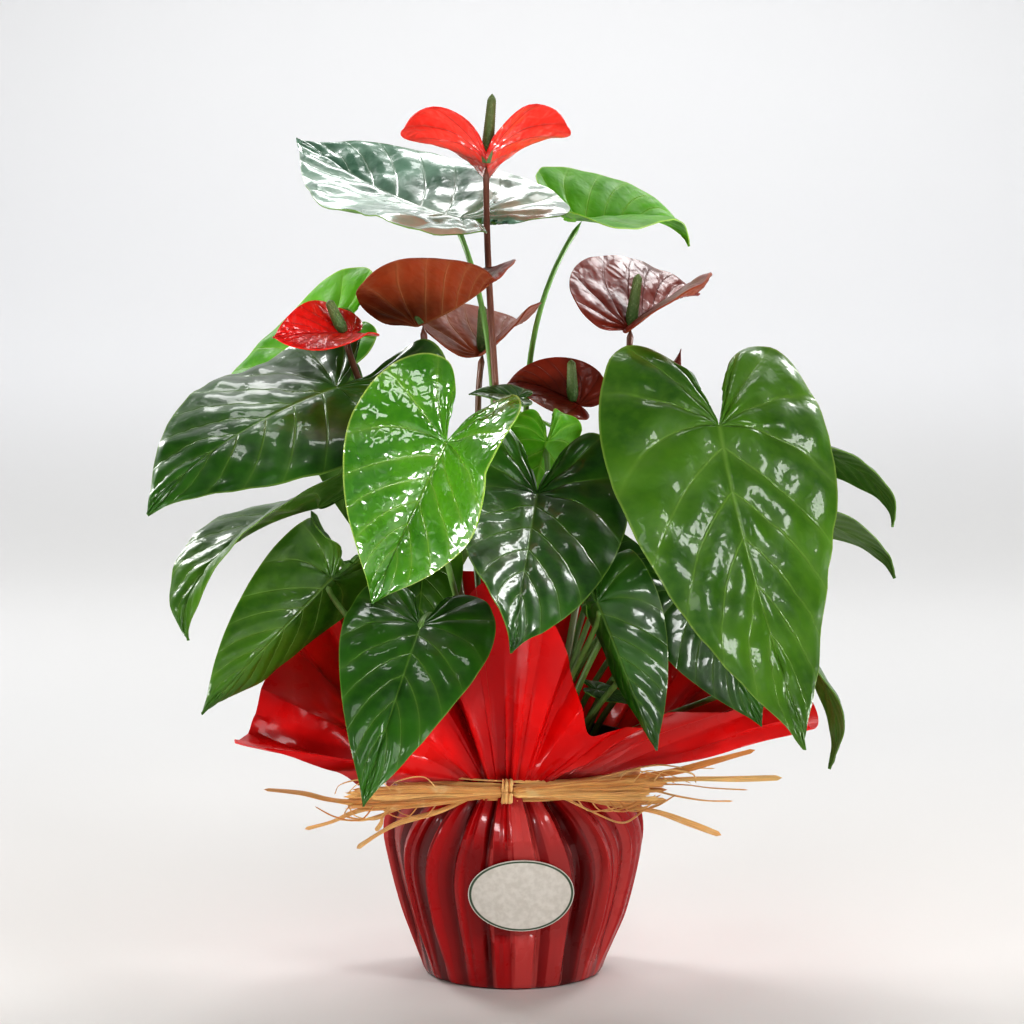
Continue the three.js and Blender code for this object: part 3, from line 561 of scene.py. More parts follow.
# Each leaf: where its blade joins the stalk, the way the blade heads (0 front, 90 right) and climbs,
# its length to the tip and its bends in degrees; foot is the stalk's place in the soil
leaves = {
    "top_left": dict(at=(-31, -2, 433), heading=-137, pitch=11, length=155, droop=-18, tip=5,
        foldLeft=20, twist=18, foot=(12, -100), bow=(42, -4, 0)),
    "top_right": dict(at=(38, 78, 434), heading=125, pitch=6, roll=-5, length=92, width=1.25, droop=12,
        tip=50, foldLeft=8, foldRight=50, cup=-20, lobe=40, foot=(17, 128), bow=(-58, 4, 0)),
    "left_tall": dict(at=(-105, 20, 366), heading=-120, pitch=-30, roll=55, length=110, droop=-10,
        tip=10, foldLeft=10, foldRight=10, cup=-10, twist=-15, foot=(22, -112), bow=(-60, -20, 0)),
    "left_large": dict(at=(-98, -50, 339), heading=-46, pitch=-14, roll=16, length=147, width=1.08,
        droop=14, tip=20, foldRight=-8, cup=-8, lobe=70, twist=10, sweep=8, foot=(30, -70)),
    "left_drooping": dict(at=(-109, -45, 272), heading=-69, pitch=-10, roll=-20, length=118, width=0.95,
        droop=48, tip=45, foldLeft=25, foldRight=10, cup=-5, lobe=30, twist=23, sweep=5, foot=(40, -82),
        bow=(12, 8, 0)),
    "front_bright": dict(at=(-35, -128, 313), heading=-95, pitch=-65, roll=60, length=94, width=1.42,
        droop=-5, tip=12, foldLeft=29, foldRight=30, cup=-5, lobe=-45, twist=50, foot=(29, -28),
        bow=(-35, -10, -10)),
    "left_low": dict(at=(-100, -68, 235), heading=-90, pitch=-46, roll=80, length=105, width=0.85,
        tip=10, foldLeft=10, foldRight=-60, cup=-10, lobe=90, foot=(40, -52)),
    "front_low": dict(at=(-49, -132, 216), heading=-8, pitch=-20, roll=13, length=119, width=0.86,
        droop=50, tip=15, foldLeft=3, foldRight=9, cup=-10, lobe=10, twist=-5, sweep=-5, foot=(37, -5),
        bow=(10, 46, 65)),
    "front_inner": dict(at=(-50, -46, 238), heading=-10, pitch=-62, roll=-12, length=66, width=0.9,
        droop=5, tip=10, cup=-15, foot=(32, -46)),
    "centre": dict(at=(13, -56, 280), heading=-7, pitch=-33, roll=5, length=140, width=0.95, droop=-10,
        tip=15, foldLeft=15, foldRight=3, cup=-10, lobe=30, twist=35, foot=(26, 8)),
    "centre_small": dict(at=(19, -12, 307), heading=198, pitch=-50, length=85, width=0.75, droop=10,
        tip=10, foldLeft=25, foldRight=30, cup=-10, lobe=105, foot=(18, 35)),
    "right_large": dict(at=(111, -95, 320), heading=12, pitch=-57, length=183, width=0.92, droop=24,
        tip=18, foldLeft=2, cup=-15, lobe=-20, twist=15, sweep=22, foot=(30, 52)),
    "right_upper": dict(at=(157, -20, 306), heading=94, pitch=-10, roll=10, length=81, droop=40, tip=50,
        foldLeft=5, cup=-20, lobe=10, twist=8, foot=(38, 114), bow=(0, -40, 0)),
    "right_middle": dict(at=(151, 12, 267), heading=100, pitch=-14, roll=10, length=86, droop=15,
        tip=45, foldLeft=8, foldRight=3, cup=-12, lobe=10, twist=3, foot=(40, 100)),
    "right_hanging": dict(at=(153, -60, 200), heading=100, pitch=-38, roll=-5, length=83, droop=64,
        tip=8, foldLeft=3, foldRight=3, cup=-13, lobe=10, twist=3, foot=(41, 84), bow=(0, 20, 0)),
    "right_low": dict(at=(46, -88, 224), heading=90, pitch=-68, roll=-90, length=88, width=0.95, tip=8,
        foldLeft=-70, foldRight=10, cup=-8, lobe=-90, foot=(37, 22)),
    "right_under": dict(at=(98, -75, 229), heading=90, pitch=-62, roll=-70, length=85, tip=10,
        foldLeft=-20, foldRight=10, cup=-10, foot=(40, 44)),
    "right_inner": dict(at=(52, -8, 238), heading=95, pitch=-25, roll=-60, length=56, droop=15, tip=10,
        foldLeft=5, foldRight=5, cup=-12, lobe=10, foot=(22, 68)),
    "right_ground": dict(at=(48, -20, 166), heading=100, pitch=-15, roll=-20, length=28, droop=10,
        tip=10, foldLeft=5, foldRight=5, cup=-12, lobe=10, foot=(36, 70)),
    "centre_curled": dict(at=(2, -28, 333), heading=-85, pitch=12, roll=25, length=27, width=1.1,
        droop=15, tip=10, foldLeft=10, foldRight=10, cup=-10, lobe=10, foot=(19, -45), bow=(-30, 4, 0)),
    "centre_back": dict(at=(22, 75, 311), heading=-110, pitch=25, roll=-10, length=42, droop=20, tip=10,
        foldLeft=10, foldRight=10, cup=-10, lobe=10, foot=(14, 170), bow=(-14, -5, 0)),
    "left_inner": dict(at=(-70, -8, 236), heading=-85, pitch=5, length=44, droop=15, tip=10,
        foldLeft=10, foldRight=10, cup=-10, lobe=10, foot=(34, -110)),
    "back_left": dict(at=(-85, 60, 328), heading=190, pitch=-45, length=105, droop=25, tip=15,
        foldLeft=8, foldRight=8, cup=-12, lobe=10, twist=5, foot=(28, -140)),
    "back_middle": dict(at=(22, 100, 274), heading=178, pitch=-35, roll=5, length=100, width=0.95,
        droop=20, tip=15, foldLeft=8, foldRight=8, cup=-12, twist=-5, sweep=5, foot=(24, 176)),
    "back_right": dict(at=(110, 60, 292), heading=165, pitch=-15, roll=5, length=130, droop=20, tip=15,
        foldLeft=10, foldRight=5, cup=-12, lobe=10, twist=5, foot=(29, 142)),
    "back_low_left": dict(at=(-50, 86, 258), heading=180, pitch=-20, length=88, droop=60, tip=15,
        foldLeft=5, foldRight=5, cup=-10, lobe=10, foot=(36, -160)),
    "back_low_right": dict(at=(123, 84, 246), heading=165, pitch=-10, length=100, droop=75, tip=15,
        foldLeft=5, foldRight=5, cup=-10, lobe=10, foot=(38, 132), bow=(-15, -10, 30)),
}
# The finishes of the upper and lower side where they are not those of a full-grown leaf
leafLooks = {
    "front_bright": ("brightLeaf", "youngLeafUnder"),
    "centre_back": ("youngLeafTop", "youngLeafUnder"),
    "top_left": ("silverSheenLeaf", "leafUnder"),
    **dict.fromkeys(("top_right", "left_tall", "centre_small"), ("softLeaf", "youngLeafUnder")),
    **dict.fromkeys(("right_large", "left_low", "left_drooping", "right_upper", "right_middle",
                     "right_hanging", "front_inner", "left_inner"), ("leafMid", "leafUnder")),
}
youngLeaves = ("top_right", "left_tall", "front_bright", "centre_small")
leafRelief = dict(quilt=1.5, wave=2.2, dent=2.0, thickness=0.7, petiole=1.75, knuckle=0.28, under=0.4)

for seed, (name, values) in enumerate(leaves.items()):
    pose = {**level, **values}
    along, up, _ = bladeFrame(pose)
    end = Vector(pose["at"]) + along * stalkWays["inset"] - up * leafRelief["under"]
    blade = shapeBlade(leafHalf, pose, leafRelief, seed)
    petiole = shapeStalk(pose, leafRelief["petiole"], end, arrivalOf(up), leafRelief["knuckle"])
    upper, lower = leafLooks.get(name, ("leafTop", "leafUnder"))
    finishPiece(gather([(blade, None), (petiole, 2)]), pieceName("leaf", name), ["leaf_" + name],
                "leaf_bright" if name in youngLeaves else "leaf",
                [finishes[upper], finishes[lower], finishes["petiole"]])
print("leaves made:", len(leaves))

# Each flower: as for a leaf, then the spadix's length, lean and the way it leans
flowers = {
    "top": dict(at=(-15, -22, 466), heading=180, pitch=-40, length=78, width=1.52, droop=-90,
        foldLeft=58, foldRight=56, cup=-50, lobe=-20, spadix=(39, 5, 90), foot=(3, 0), bow=(-1, 28, 0)),
    "left": dict(at=(-90, -50, 369), heading=-60, pitch=3, roll=4, length=47, width=1.05, droop=10,
        foldLeft=30, cup=8, lobe=10, twist=50, spadix=(20, 25, -90), foot=(21, -82), bow=(20, 26, 0)),
    "dark_left": dict(at=(-53, -40, 373), heading=53, pitch=18, roll=13, length=92, width=1.08, droop=4,
        tip=14, foldLeft=34, foldRight=62, cup=-20, lobe=12, twist=20, sweep=-42, spadix=(25, 25, -90),
        foot=(25, -57)),
    "dark_middle": dict(at=(-19, 25, 355), heading=160, pitch=20, length=74, width=1.18, droop=10,
        tip=5, foldLeft=36, foldRight=31, cup=7, lobe=12, twist=-5, spadix=(28, 10, 180),
        foot=(13, -160), bow=(-14, 10, 0)),
    "dark_right": dict(at=(64, -30, 371), heading=152, pitch=18, length=98, droop=10, tip=10,
        foldLeft=35, foldRight=55, cup=-10, spadix=(30, 10, 60), foot=(25, 96), bow=(-4, 45, 0)),
    "dark_centre": dict(at=(38, 30, 326), heading=-110, pitch=30, roll=30, length=50, droop=32, tip=15,
        foldLeft=45, foldRight=20, cup=-5, lobe=10, twist=10, spadix=(25, 14, -10), foot=(14, 72),
        bow=(16, 8, 0)),
}
spatheRelief = dict(quilt=1.3, wave=1.6, dent=2.0, thickness=0.9, peduncle=2.0, knuckle=0.12, under=0.3)
spadixShape = dict(foot=2.2, wide=3.4, narrow=2.3, widest=0.25, tipFrom=0.86, bump=0.28, around=11,
                   gap=1.25, low=(0.070, 0.150, 0.035), high=(0.135, 0.190, 0.055),
                   fleck=(0.26, 0.30, 0.13))


def spadixMaterial():
    material = startMaterial("spadix", {"Roughness": 0.5, "Subsurface Weight": 0.15,
                                        "Subsurface Scale": 0.002,
                                        "Subsurface Radius": (0.5, 1.0, 0.3)})
    along = partsOf(material, surfacePlace(material))[1]
    color = blendColor(material, ease(material, along, 0.1, 0.95), spadixShape["low"], spadixShape["high"])
    grain = objectNoise(material, 700, 3)
    plug(material, "Base Color", blendColor(material, ease(material, grain, 0.5, 0.72, 0, 0.6), color,
                                            spadixShape["fleck"]))
    plug(material, "Normal", bumpUp(material, grain, 0.0006, 0.6))
    return material


finishes["spadix"] = spadixMaterial()


def shapeSpadix(pose):
    length, leanAngle, leanHeading = pose["spadix"]
    along, up, _ = bladeFrame(pose)
    lean = onCircle(math.sin(math.radians(leanAngle)), leanHeading, math.cos(math.radians(leanAngle)))
    foot = Vector(pose["at"]) + along * stalkWays["inset"] + up * 0.5
    turns = 3.14 * length / spadixShape["gap"] / 2
    thin, wide, narrow, widest = (spadixShape[k] for k in ("foot", "wide", "narrow", "widest"))

    def radiusAt(s, turn):
        if s < widest:
            r = thin + (wide - thin) * math.sin(s / widest * 1.57)
        else:
            r = wide + (narrow - wide) * (s - widest) / (1 - widest)
        r *= math.sqrt(max(1 - smoothStep(spadixShape["tipFrom"], 1.0, s) ** 2, 0.02))
        across = spadixShape["around"] / 2 * turn
        knob = math.cos(across + turns * s) * math.cos(across - turns * s)
        return r + spadixShape["bump"] * (abs(knob) - 0.4)

    return rollTube(lambda s: foot + lean * (length * s), radiusAt, 96, 56)


# The finishes of the upper and lower side, and the record's material for the spathe
spatheLooks = {
    **dict.fromkeys(("top", "left"), ("spatheRed", "spatheRedUnderBacklit", "spathe_red")),
    **dict.fromkeys(("dark_left", "dark_right", "dark_centre"),
                    ("spatheDark", "spatheDarkUnder", "spathe_dark")),
    "dark_middle": ("spatheDarkUnder", "spatheDarkUnder", "spathe_dark"),
}
firstSpatheSeed = 40
for seed, (name, values) in enumerate(flowers.items(), firstSpatheSeed):
    pose = {**level, **values}
    along, up, _ = bladeFrame(pose)
    upper, lower, slotName = spatheLooks[name]
    finishPiece(shapeBlade(spatheHalf, pose, spatheRelief, seed), pieceName("spathe", name),
                ["spathe_" + name], slotName, [finishes[upper], finishes[lower]])
    finishPiece(shapeSpadix(pose), pieceName("spadix", name), ["spadix_" + name], "spadix",
                [finishes["spadix"]], 80)
    end = Vector(pose["at"]) + along * stalkWays["inset"] - up * spatheRelief["under"]
    peduncle = shapeStalk(pose, spatheRelief["peduncle"], end, arrivalOf(up), spatheRelief["knuckle"])
    finishPiece(peduncle, pieceName("peduncle", name), ["peduncle_" + name], "peduncle",
                [finishes["peduncle"]])
print("flowers made:", len(flowers))

# A young spathe, still rolled, on its own stalk
bud = dict(at=(89, -10, 335), length=26, radius=3.8, lean=(0.25, -0.1, 1), foot=(26, 120),
           bow=(0, 45, 0), overlap=0.16)


def shapeBud():
    lean = Vector(bud["lean"]).normalized()
    base = Vector(bud["at"])
    stem = shapeStalk(bud, 1.75, base + lean, lean, 0.1)

    def radiusAt(s, turn):
        r = bud["radius"] * (math.sin(math.pi * min(s * 1.25 + 0.16, 1) ** 0.8) if s < 0.3 else
                             (1 - smoothStep(0.3, 1.02, s)) ** 0.8)
        return max(r, 0.3) * (1 + bud["overlap"] * ((turn / 6.283 + s * 0.8) % 1))

    roll = rollTube(lambda s: base + lean * (bud["length"] * s), radiusAt, 36, 28)
    return gather([(stem, 1), (roll, 0)])


finishPiece(shapeBud(), "budRoll", ["bud"], "bud", [finishes["spatheDark"], finishes["petiole"]])
print("bud made")

# Film wrap, one gathered sheet: up the pot, in under the tie and out into the collar. Its pleats, fans
# and tucks give how many folds there are, their width in degrees, their depth and how far they drift.
wrap = dict(
    knot=3,
    skirt=((30, 0.7), (46, 0.6), (51, 1.5), (54, 10), (59, 28), (64, 45), (69, 65), (73, 84), (73, 101),
           (70.2, 111), (69.4, 116.8), (70.3, 122.5)),
    rim=((-12, 97, 231), (0, 96, 228), (13, 97, 214), (24, 87, 172), (31, 84, 149), (47, 103, 158),
         (62, 130, 155), (75, 150, 157), (88, 175, 154), (101, 158, 178), (117, 134, 204),
         (133, 117, 217), (152, 102, 221), (172, 95, 223), (195, 98, 222), (215, 108, 220),
         (234, 118, 216), (254, 138, 184), (268, 148, 156), (283, 160, 142), (291, 128, 130),
         (299, 112, 125), (309, 105, 127), (321, 101, 168), (334, 96, 184)),
    columns=520, rows=88, skirtShare=0.46, thickness=0.22, flat=(0.395, 0.395),
    pleats=(62, 4.6, 5.2, 3), fans=(30, 12, 11, 3), tucks=(84, 3.0, 1.5, 1),
    draw=1.5, drawWidth=60, slump=5, crinkle=1.6, crinkleScale=0.028,
    behindCard=dict(heading=4, across=(20, 34), height=58, up=(24, 32), deepest=5.0),
    # colours of the film: red and bright red are its own tone; the valley colour is painted shade in the
    # fold valleys, the facet colour a painted reflection on flat fold bands, and the over-pot colours a
    # painted-shade copy of the film over the pot
    red=(0.56, 0.001, 0.002), brightRed=(0.80, 0.004, 0.004), valleyShade=(0.20, 0.0005, 0.002),
    facet=(0.86, 0.05, 0.045), overPotShade=(0.060, 0.0004, 0.001), overPotShadeRidge=(0.36, 0.003, 0.005),
    overPotShadeReflection=(0.60, 0.10, 0.09))


def foldHeight(folds, place, s):
    # creased ridges and valleys, each leaning its own way; the sign sets ridge or valley. The second value
    # marks the flat fold bands that get the film's painted reflection
    total, band = 0.0, 0.0
    for centre, width, depth, drift, tone, crest in folds:
        x = ((place - centre - drift * s + 180) % 360 - 180) / width
        if abs(x) < 1:
            total += depth * ((x + 1) / (1 + crest) if x < crest else (1 - x) / (1 - crest))
            band = max(band, tone if x < crest else 0)
    return total, band


def makeFolds(rule, count, wide, depth, drift):
    folds = []
    for i in range(count):
        centre = 360 * (i + rule.uniform(-0.42, 0.42)) / count
        # each fold: centre, width, depth, drift, strength of its painted-reflection band, and where its
        # crest lies
        folds.append((centre, wide * rule.uniform(0.5, 1.5),
                      depth * rule.choice((-0.9, 1, 1)) * rule.uniform(0.35, 1.0),
                      rule.uniform(-drift, drift), rule.choice((0, 0, 0.6, 1)),
                      rule.choice((-0.8, -0.5, 0.5, 0.8))))
    return folds


def drawnHeading(place, drawn):
    # the columns of the sheet run together at the knot, where the tie gathers it
    turned = place
    for _ in range(6):
        turned = place / (1 + wrap["draw"] * math.exp(-((turned / wrap["drawWidth"]) ** 2)) * drawn)
    return turned - wrap["knot"]


def flatness(heading, z):
    # 0 behind the card, where the pleats lie flat, 1 away from it
    card = wrap["behindCard"]
    across = abs((heading - card["heading"] + 180) % 360 - 180)
    return max(smoothStep(*card["across"], across), smoothStep(*card["up"], abs(z - card["height"])))


def shapeWrap():
    rule = random.Random(11)
    pleats, fans, tucks = (makeFolds(rule, *wrap[kind]) for kind in ("pleats", "fans", "tucks"))
    pleatDepth, fanDepth, deepest = wrap["pleats"][2], wrap["fans"][2], wrap["behindCard"]["deepest"]
    rim = [Vector((math.radians(heading), radius, z)) for heading, radius, z in wrap["rim"]]
    fullTurn = Vector((2 * math.pi, 0, 0))
    ring = [rim[-1] - fullTurn] + rim + [p + fullTurn for p in rim[:2]]
    share = wrap["skirtShare"]
    profile = [Vector((r, z, 0)) for r, z in wrap["skirt"]]
    bm = startGrid(wrap["columns"], wrap["rows"])
    # band marks the flat fold bands for the painted reflection; relief is the fold height, which the film's
    # colour uses for painted shade in the valleys and lighter ridges
    band = bm.verts.layers.float.new("band")
    relief = bm.verts.layers.float.new("relief")
    places = []
    for v in bm.verts:
        u, s = v.co.x + 0.5, v.co.y + 0.5
        h, radius, z = catmull(ring, (1 + u * len(rim)) / (len(ring) - 1))
        place = (math.degrees(h) + wrap["knot"] + 180) % 360 - 180
        if s <= share:
            c = 0.0
            heading = drawnHeading(place, smoothStep(0.5, 1, s / share))
            outline = catmull(profile, s / share)
            v.co = onCircle(outline.x, heading, outline.y)
        else:
            c = (s - share) / (1 - share)
            heading = drawnHeading(place, 1)
            foot = onCircle(wrap["skirt"][-1][0], heading, wrap["skirt"][-1][1])
            v.co = foot.lerp(onCircle(radius, math.degrees(h), z), c)
            slump = wrap["slump"] * math.sin(math.pi * c)
            v.co += onCircle(1, heading, 0) * slump * 0.3 + Vector((0, 0, slump * 0.5))
        places.append((v, heading, place, s, c))
    bm.normal_update()
    moves = []
    for v, heading, place, s, c in places:
        if c == 0:
            y = s / share
            depth, tone = foldHeight(pleats, place, y)
            free = smoothStep(0.22, 0.42, y) * (1 - smoothStep(0.84, 0.97, y)) + 0.12
            small, _ = foldHeight(tucks, place, y)
            near = smoothStep(0.62, 0.95, y)
            loose = flatness(heading, v.co.z)
            depth = min(depth, deepest) * loose + min(depth, 0) * (1 - loose) * 0.5
            move = onCircle(1, heading, 0) * (depth * free + small * near * 0.8)
            rise = depth / pleatDepth + small * near * 0.4
            if y < 0.16:
                move = Vector((0, 0, 0))
        else:
            depth, tone = foldHeight(fans, place, c)
            small, _ = foldHeight(tucks, place, 1 + c * 0.5)
            grow = 0.12 + 0.88 * smoothStep(0.0, 0.5, c)
            fine = 1 - smoothStep(0.15, 0.8, c)
            crease = (0.35 - abs(noise.noise(v.co * wrap["crinkleScale"]))) * wrap["crinkle"] * grow
            move = v.normal * (depth * grow + small * fine * 0.9 + crease)
            rise = depth / fanDepth + small * fine * 0.4
        v[band] = tone
        v[relief] = 0.5 + 0.5 * max(-1, min(1, rise))
        moves.append((v, move))
    for v, move in moves:
        v.co += move
    bmesh.ops.remove_doubles(bm, verts=bm.verts, dist=1e-3)
    hub = [e for e in bm.edges if e.is_boundary and all(p.co.z < 2 for p in e.verts)]
    bmesh.ops.holes_fill(bm, edges=hub, sides=0)
    bmesh.ops.recalc_face_normals(bm, faces=bm.faces)
    return thicken(bm, wrap["thickness"])


def filmMaterial():
    material = startMaterial("film", {"Coat Roughness": 0.07, "Specular IOR Level": 0.14})
    band, relief = layerValue(material, "band"), layerValue(material, "relief")
    color = blendColor(material, ease(material, objectNoise(material, 26, 3), 0.3, 0.7),
                       wrap["red"], wrap["brightRed"])
    # painted shade: the fold valleys are painted darker towards the valley colour
    color = blendColor(material, ease(material, relief, 0.12, 0.62, 0.75, 0.0), color,
                       wrap["valleyShade"])
    # painted reflection: the flat fold bands are painted paler towards the facet colour
    color = blendColor(material, sumOf(material, "MULTIPLY", band, 0.35), color, wrap["facet"])
    # painted shade: over the black pot the film is painted as a darker copy of the free collar, with painted
    # shade in its valleys, lighter ridges and a painted reflection on its flat bands
    height = partsOf(material, objectPlace(material))[2]
    shade = blendColor(material, ease(material, relief, 0.30, 0.85),
                       wrap["overPotShade"], wrap["overPotShadeRidge"])
    shade = blendColor(material, sumOf(material, "MULTIPLY", band, 0.55), shade,
                       wrap["overPotShadeReflection"])
    plug(material, "Base Color",
         blendColor(material, ease(material, height, 0.112, 0.140, 0.88, 0.0), color, shade))
    plug(material, "Coat Weight", ease(material, height, 0.118, 0.150, 0.45, 0.10))
    plug(material, "Roughness", ease(material, objectNoise(material, 70, 3), 0.3, 0.7, 0.24, 0.42))
    normal = bumpUp(material, objectNoise(material, 55, 5, (1, 1, 0.4)), 0.0022, 0.25)
    plug(material, "Normal", bumpUp(material, objectNoise(material, 420, 3), 0.0003, 0.3, normal))
    return material


finishes["film"] = filmMaterial()
wrapPiece = finishPiece(shapeWrap(), "wrapFilm", ["wrap_skirt", "wrap_collar"], "film",
                        [finishes["film"]], 22)
print("wrap made")

# Pot: thin plastic shell with a rim band and drain holes; soil with peat crumbs
pot = dict(profile=((0, 1.5), (46, 1.5), (47.5, 2.4), (66.6, 124), (67.8, 124.3), (70.0, 135.4),
                    (69.4, 136), (67.8, 135.6), (65.4, 124), (45.6, 4), (44.8, 3.5), (0, 3.5)),
           steps=128, holeRadius=5, holeRing=30, holes=6, holeDepth=8, black=(0.010, 0.010, 0.010),
           worn=(0.032, 0.031, 0.030), dust=(0.07, 0.055, 0.045))
soil = dict(top=119.6, foot=3.8, radius=(45.2, 62.8), columns=96, rows=30, rough=1.6, crumbs=420,
            strewn=60, dark=(0.012, 0.008, 0.006), brown=(0.060, 0.036, 0.022), fibre=(0.16, 0.10, 0.05))


def shapePot():
    bm = bmesh.new()
    bm.loops.layers.uv.new("surface")
    points = [bm.verts.new((r, 0, z)) for r, z in pot["profile"]]
    edges = [bm.edges.new(pair) for pair in zip(points, points[1:])]
    bmesh.ops.spin(bm, geom=points + edges, cent=(0, 0, 0), axis=(0, 0, 1), angle=2 * math.pi,
                   steps=pot["steps"], use_merge=True)
    closeUp(bm)
    return bm


def cutDrains(piece):
    cutter = bmesh.new()
    radius = pot["holeRadius"] * mm
    for i in range(pot["holes"]):
        made = bmesh.ops.create_cone(cutter, cap_ends=True, segments=24, radius1=radius, radius2=radius,
                                     depth=pot["holeDepth"] * mm)
        bmesh.ops.translate(cutter, verts=made["verts"],
                            vec=onCircle(pot["holeRing"], 360 * i / pot["holes"], 2.5) * mm)
    tool = addObject("drainCutter", toMesh(cutter, "drainCutter"))
    cut = piece.modifiers.new("drains", "BOOLEAN")
    cut.object, cut.operation, cut.solver = tool, "DIFFERENCE", "EXACT"
    result = appliedMesh(piece)
    piece.modifiers.clear()
    piece.data = result
    bpy.data.objects.remove(tool)


def potMaterial():
    material = startMaterial("potPlastic", {"Roughness": 0.42, "Specular IOR Level": 0.45})
    wear = objectNoise(material, 40, 4)
    color = blendColor(material, ease(material, wear, 0.3, 0.75), pot["black"], pot["worn"])
    dust = ease(material, objectNoise(material, 260, 4), 0.56, 0.76, 0, 0.5)
    plug(material, "Base Color", blendColor(material, dust, color, pot["dust"]))
    plug(material, "Roughness", ease(material, wear, 0.3, 0.7, 0.34, 0.56))
    plug(material, "Normal", bumpUp(material, objectNoise(material, 500, 3), 0.0003, 0.35))
    return material


def soilMaterial():
    material = startMaterial("peat", {"Roughness": 0.92})
    grain = objectNoise(material, 420, 5)
    color = blendColor(material, ease(material, grain, 0.35, 0.68), soil["dark"], soil["brown"])
    fibre = ease(material, objectNoise(material, 150, 4, (1, 4, 1)), 0.64, 0.72, 0, 0.7)
    plug(material, "Base Color", blendColor(material, fibre, color, soil["fibre"]))
    plug(material, "Normal", bumpUp(material, grain, 0.002, 0.9))
    return material


def shapeSoil():
    # a tapered block with an uneven top, strewn with crumbs
    rule = random.Random(5)
    low, high = soil["radius"]
    bm = startGrid(soil["columns"], soil["rows"])
    for v in bm.verts:
        turn, s = (v.co.x + 0.5) * 360, v.co.y + 0.5
        if s < 0.2:
            r, z = low * s / 0.2, soil["foot"]
        elif s < 0.4:
            w = (s - 0.2) / 0.2
            r, z = low + (high - low) * w, soil["foot"] + (soil["top"] - 2.5 - soil["foot"]) * w
        else:
            r = high * (1 - (s - 0.4) / 0.6)
            p = onCircle(r, turn, 0)
            z = soil["top"] + soil["rough"] * noise.noise(p * 0.11) - 1.5 * smoothStep(50, 63, r)
        v.co = onCircle(r, turn, z)
    closeUp(bm)
    crumbs = bmesh.new()
    crumbs.loops.layers.uv.new("surface")
    for _ in range(soil["crumbs"]):
        made = bmesh.ops.create_icosphere(crumbs, subdivisions=1, radius=rule.uniform(0.6, 2.0))
        for v in made["verts"]:
            v.co *= rule.uniform(0.75, 1.2)
        r, turn = soil["strewn"] * math.sqrt(rule.random()), rule.uniform(0, 360)
        bmesh.ops.translate(crumbs, verts=made["verts"], vec=onCircle(r, turn, soil["top"] + 0.3))
    return gather([(bm, 0), (crumbs, 0)])


finishes["pot"] = potMaterial()
finishes["soil"] = soilMaterial()
potPiece = finishPiece(shapePot(), "potShell", ["pot"], "pot", [finishes["pot"]], 35)
cutDrains(potPiece)
finishPiece(shapeSoil(), "soilPeat", ["soil"], "soil", [finishes["soil"]], 70)
print("pot and soil made")

# Raffia: loose flat strands gathered in two tails, a band round the wrap and a small knot
raffia = dict(strandsPerTail=46, threadsPerTail=8, bandStrands=9, bandHeight=9, knotLoops=5, knotLeft=-5.5,
              knotWidth=4.6, tie=118, reach=73.4, dark=(0.68, 0.24, 0.045), pale=(1.0, 0.60, 0.22),
              fibre=(0.26, 0.13, 0.05), patch=(0.84, 0.62, 0.32))
# the thick middle of each tail, and single strands as start, middle, end and width
tailRoutes = {
    "left": dict(core=((-5, -77, 118), (-30, -78.5, 117), (-60, -79, 115.5), (-93, -76, 113)),
                 spread=6.0, singles=(
        ((-20, -79, 117.5), (-95, -78, 113), (-138, -70, 118), 3.6),
        ((-20, -79, 117), (-70, -79, 110), (-110, -74, 115), 2.2),
        ((-30, -79, 116), (-85, -75, 107), (-116, -62, 94), 2.4),
        ((-30, -79, 116), (-78, -76, 103), (-98, -68, 101), 1.4),
        ((-18, -78.5, 117), (-62, -78, 101), (-87, -66, 84), 3.0),
        ((-40, -79, 115), (-70, -77, 106), (-76, -72, 95), 2.2))),
    "right": dict(core=((0, -77, 118), (30, -78.5, 119), (58, -79, 119), (85, -76, 119)),
                  spread=6.2, singles=(
        ((20, -79, 120), (96, -77, 125), (149, -70, 124.5), 4.0),
        ((20, -79, 119), (90, -77, 122), (130, -72, 118), 2.0),
        ((30, -79, 121), (88, -77, 129), (134, -70, 140), 3.4),
        ((30, -79, 121), (78, -79, 133), (112, -72, 130), 1.4),
        ((25, -79, 118), (78, -77, 107), (116, -64, 91), 3.2),
        ((24, -79, 116), (60, -79, 101), (84, -75, 113), 2.4),
        ((60, -79, 119), (92, -76, 115), (122, -68, 111), 1.2))),
}


def raffiaMaterial():
    material = startMaterial("raffia", {"Roughness": 0.62, "Sheen Weight": 0.15,
                                        "Subsurface Weight": 0.1, "Subsurface Scale": 0.001})
    color = blendColor(material, layerValue(material, "tone"), raffia["dark"], raffia["pale"])
    fibre = noiseOn(material, surfacePlace(material), 3.0, 5.0, (14, 3, 1))
    color = blendColor(material, ease(material, fibre, 0.42, 0.7, 0, 0.55), color, raffia["fibre"])
    pale = ease(material, objectNoise(material, 90, 3), 0.56, 0.72, 0, 0.5)
    plug(material, "Base Color", blendColor(material, pale, color, raffia["patch"]))
    plug(material, "Normal", bumpUp(material, fibre, 0.0008, 0.6))
    return material


finishes["raffia"] = raffiaMaterial()


def strand(points, width, thickness, rule, rings=26):
    corners = [Vector(p) for p in points]
    twist = rule.uniform(-1.2, 1.2)
    curl = rule.uniform(0, roundTurn)

    def radiusAt(s, turn):
        ends = min(1, s / 0.03 + 0.45, (1 - s) / 0.03 + 0.45)
        return width / 2 * ends * (1 + 0.18 * math.sin(11 * s + curl))

    bm = rollTube(lambda s: catmull(corners, s), radiusAt, rings, 8, thickness / width, twist)
    tone = bm.verts.layers.float.new("tone")
    shade = rule.random()
    for v in bm.verts:
        v[tone] = shade
    return bm


def gatherStrands(strands):
    return gather([(bm, None) for bm in strands], "tone")


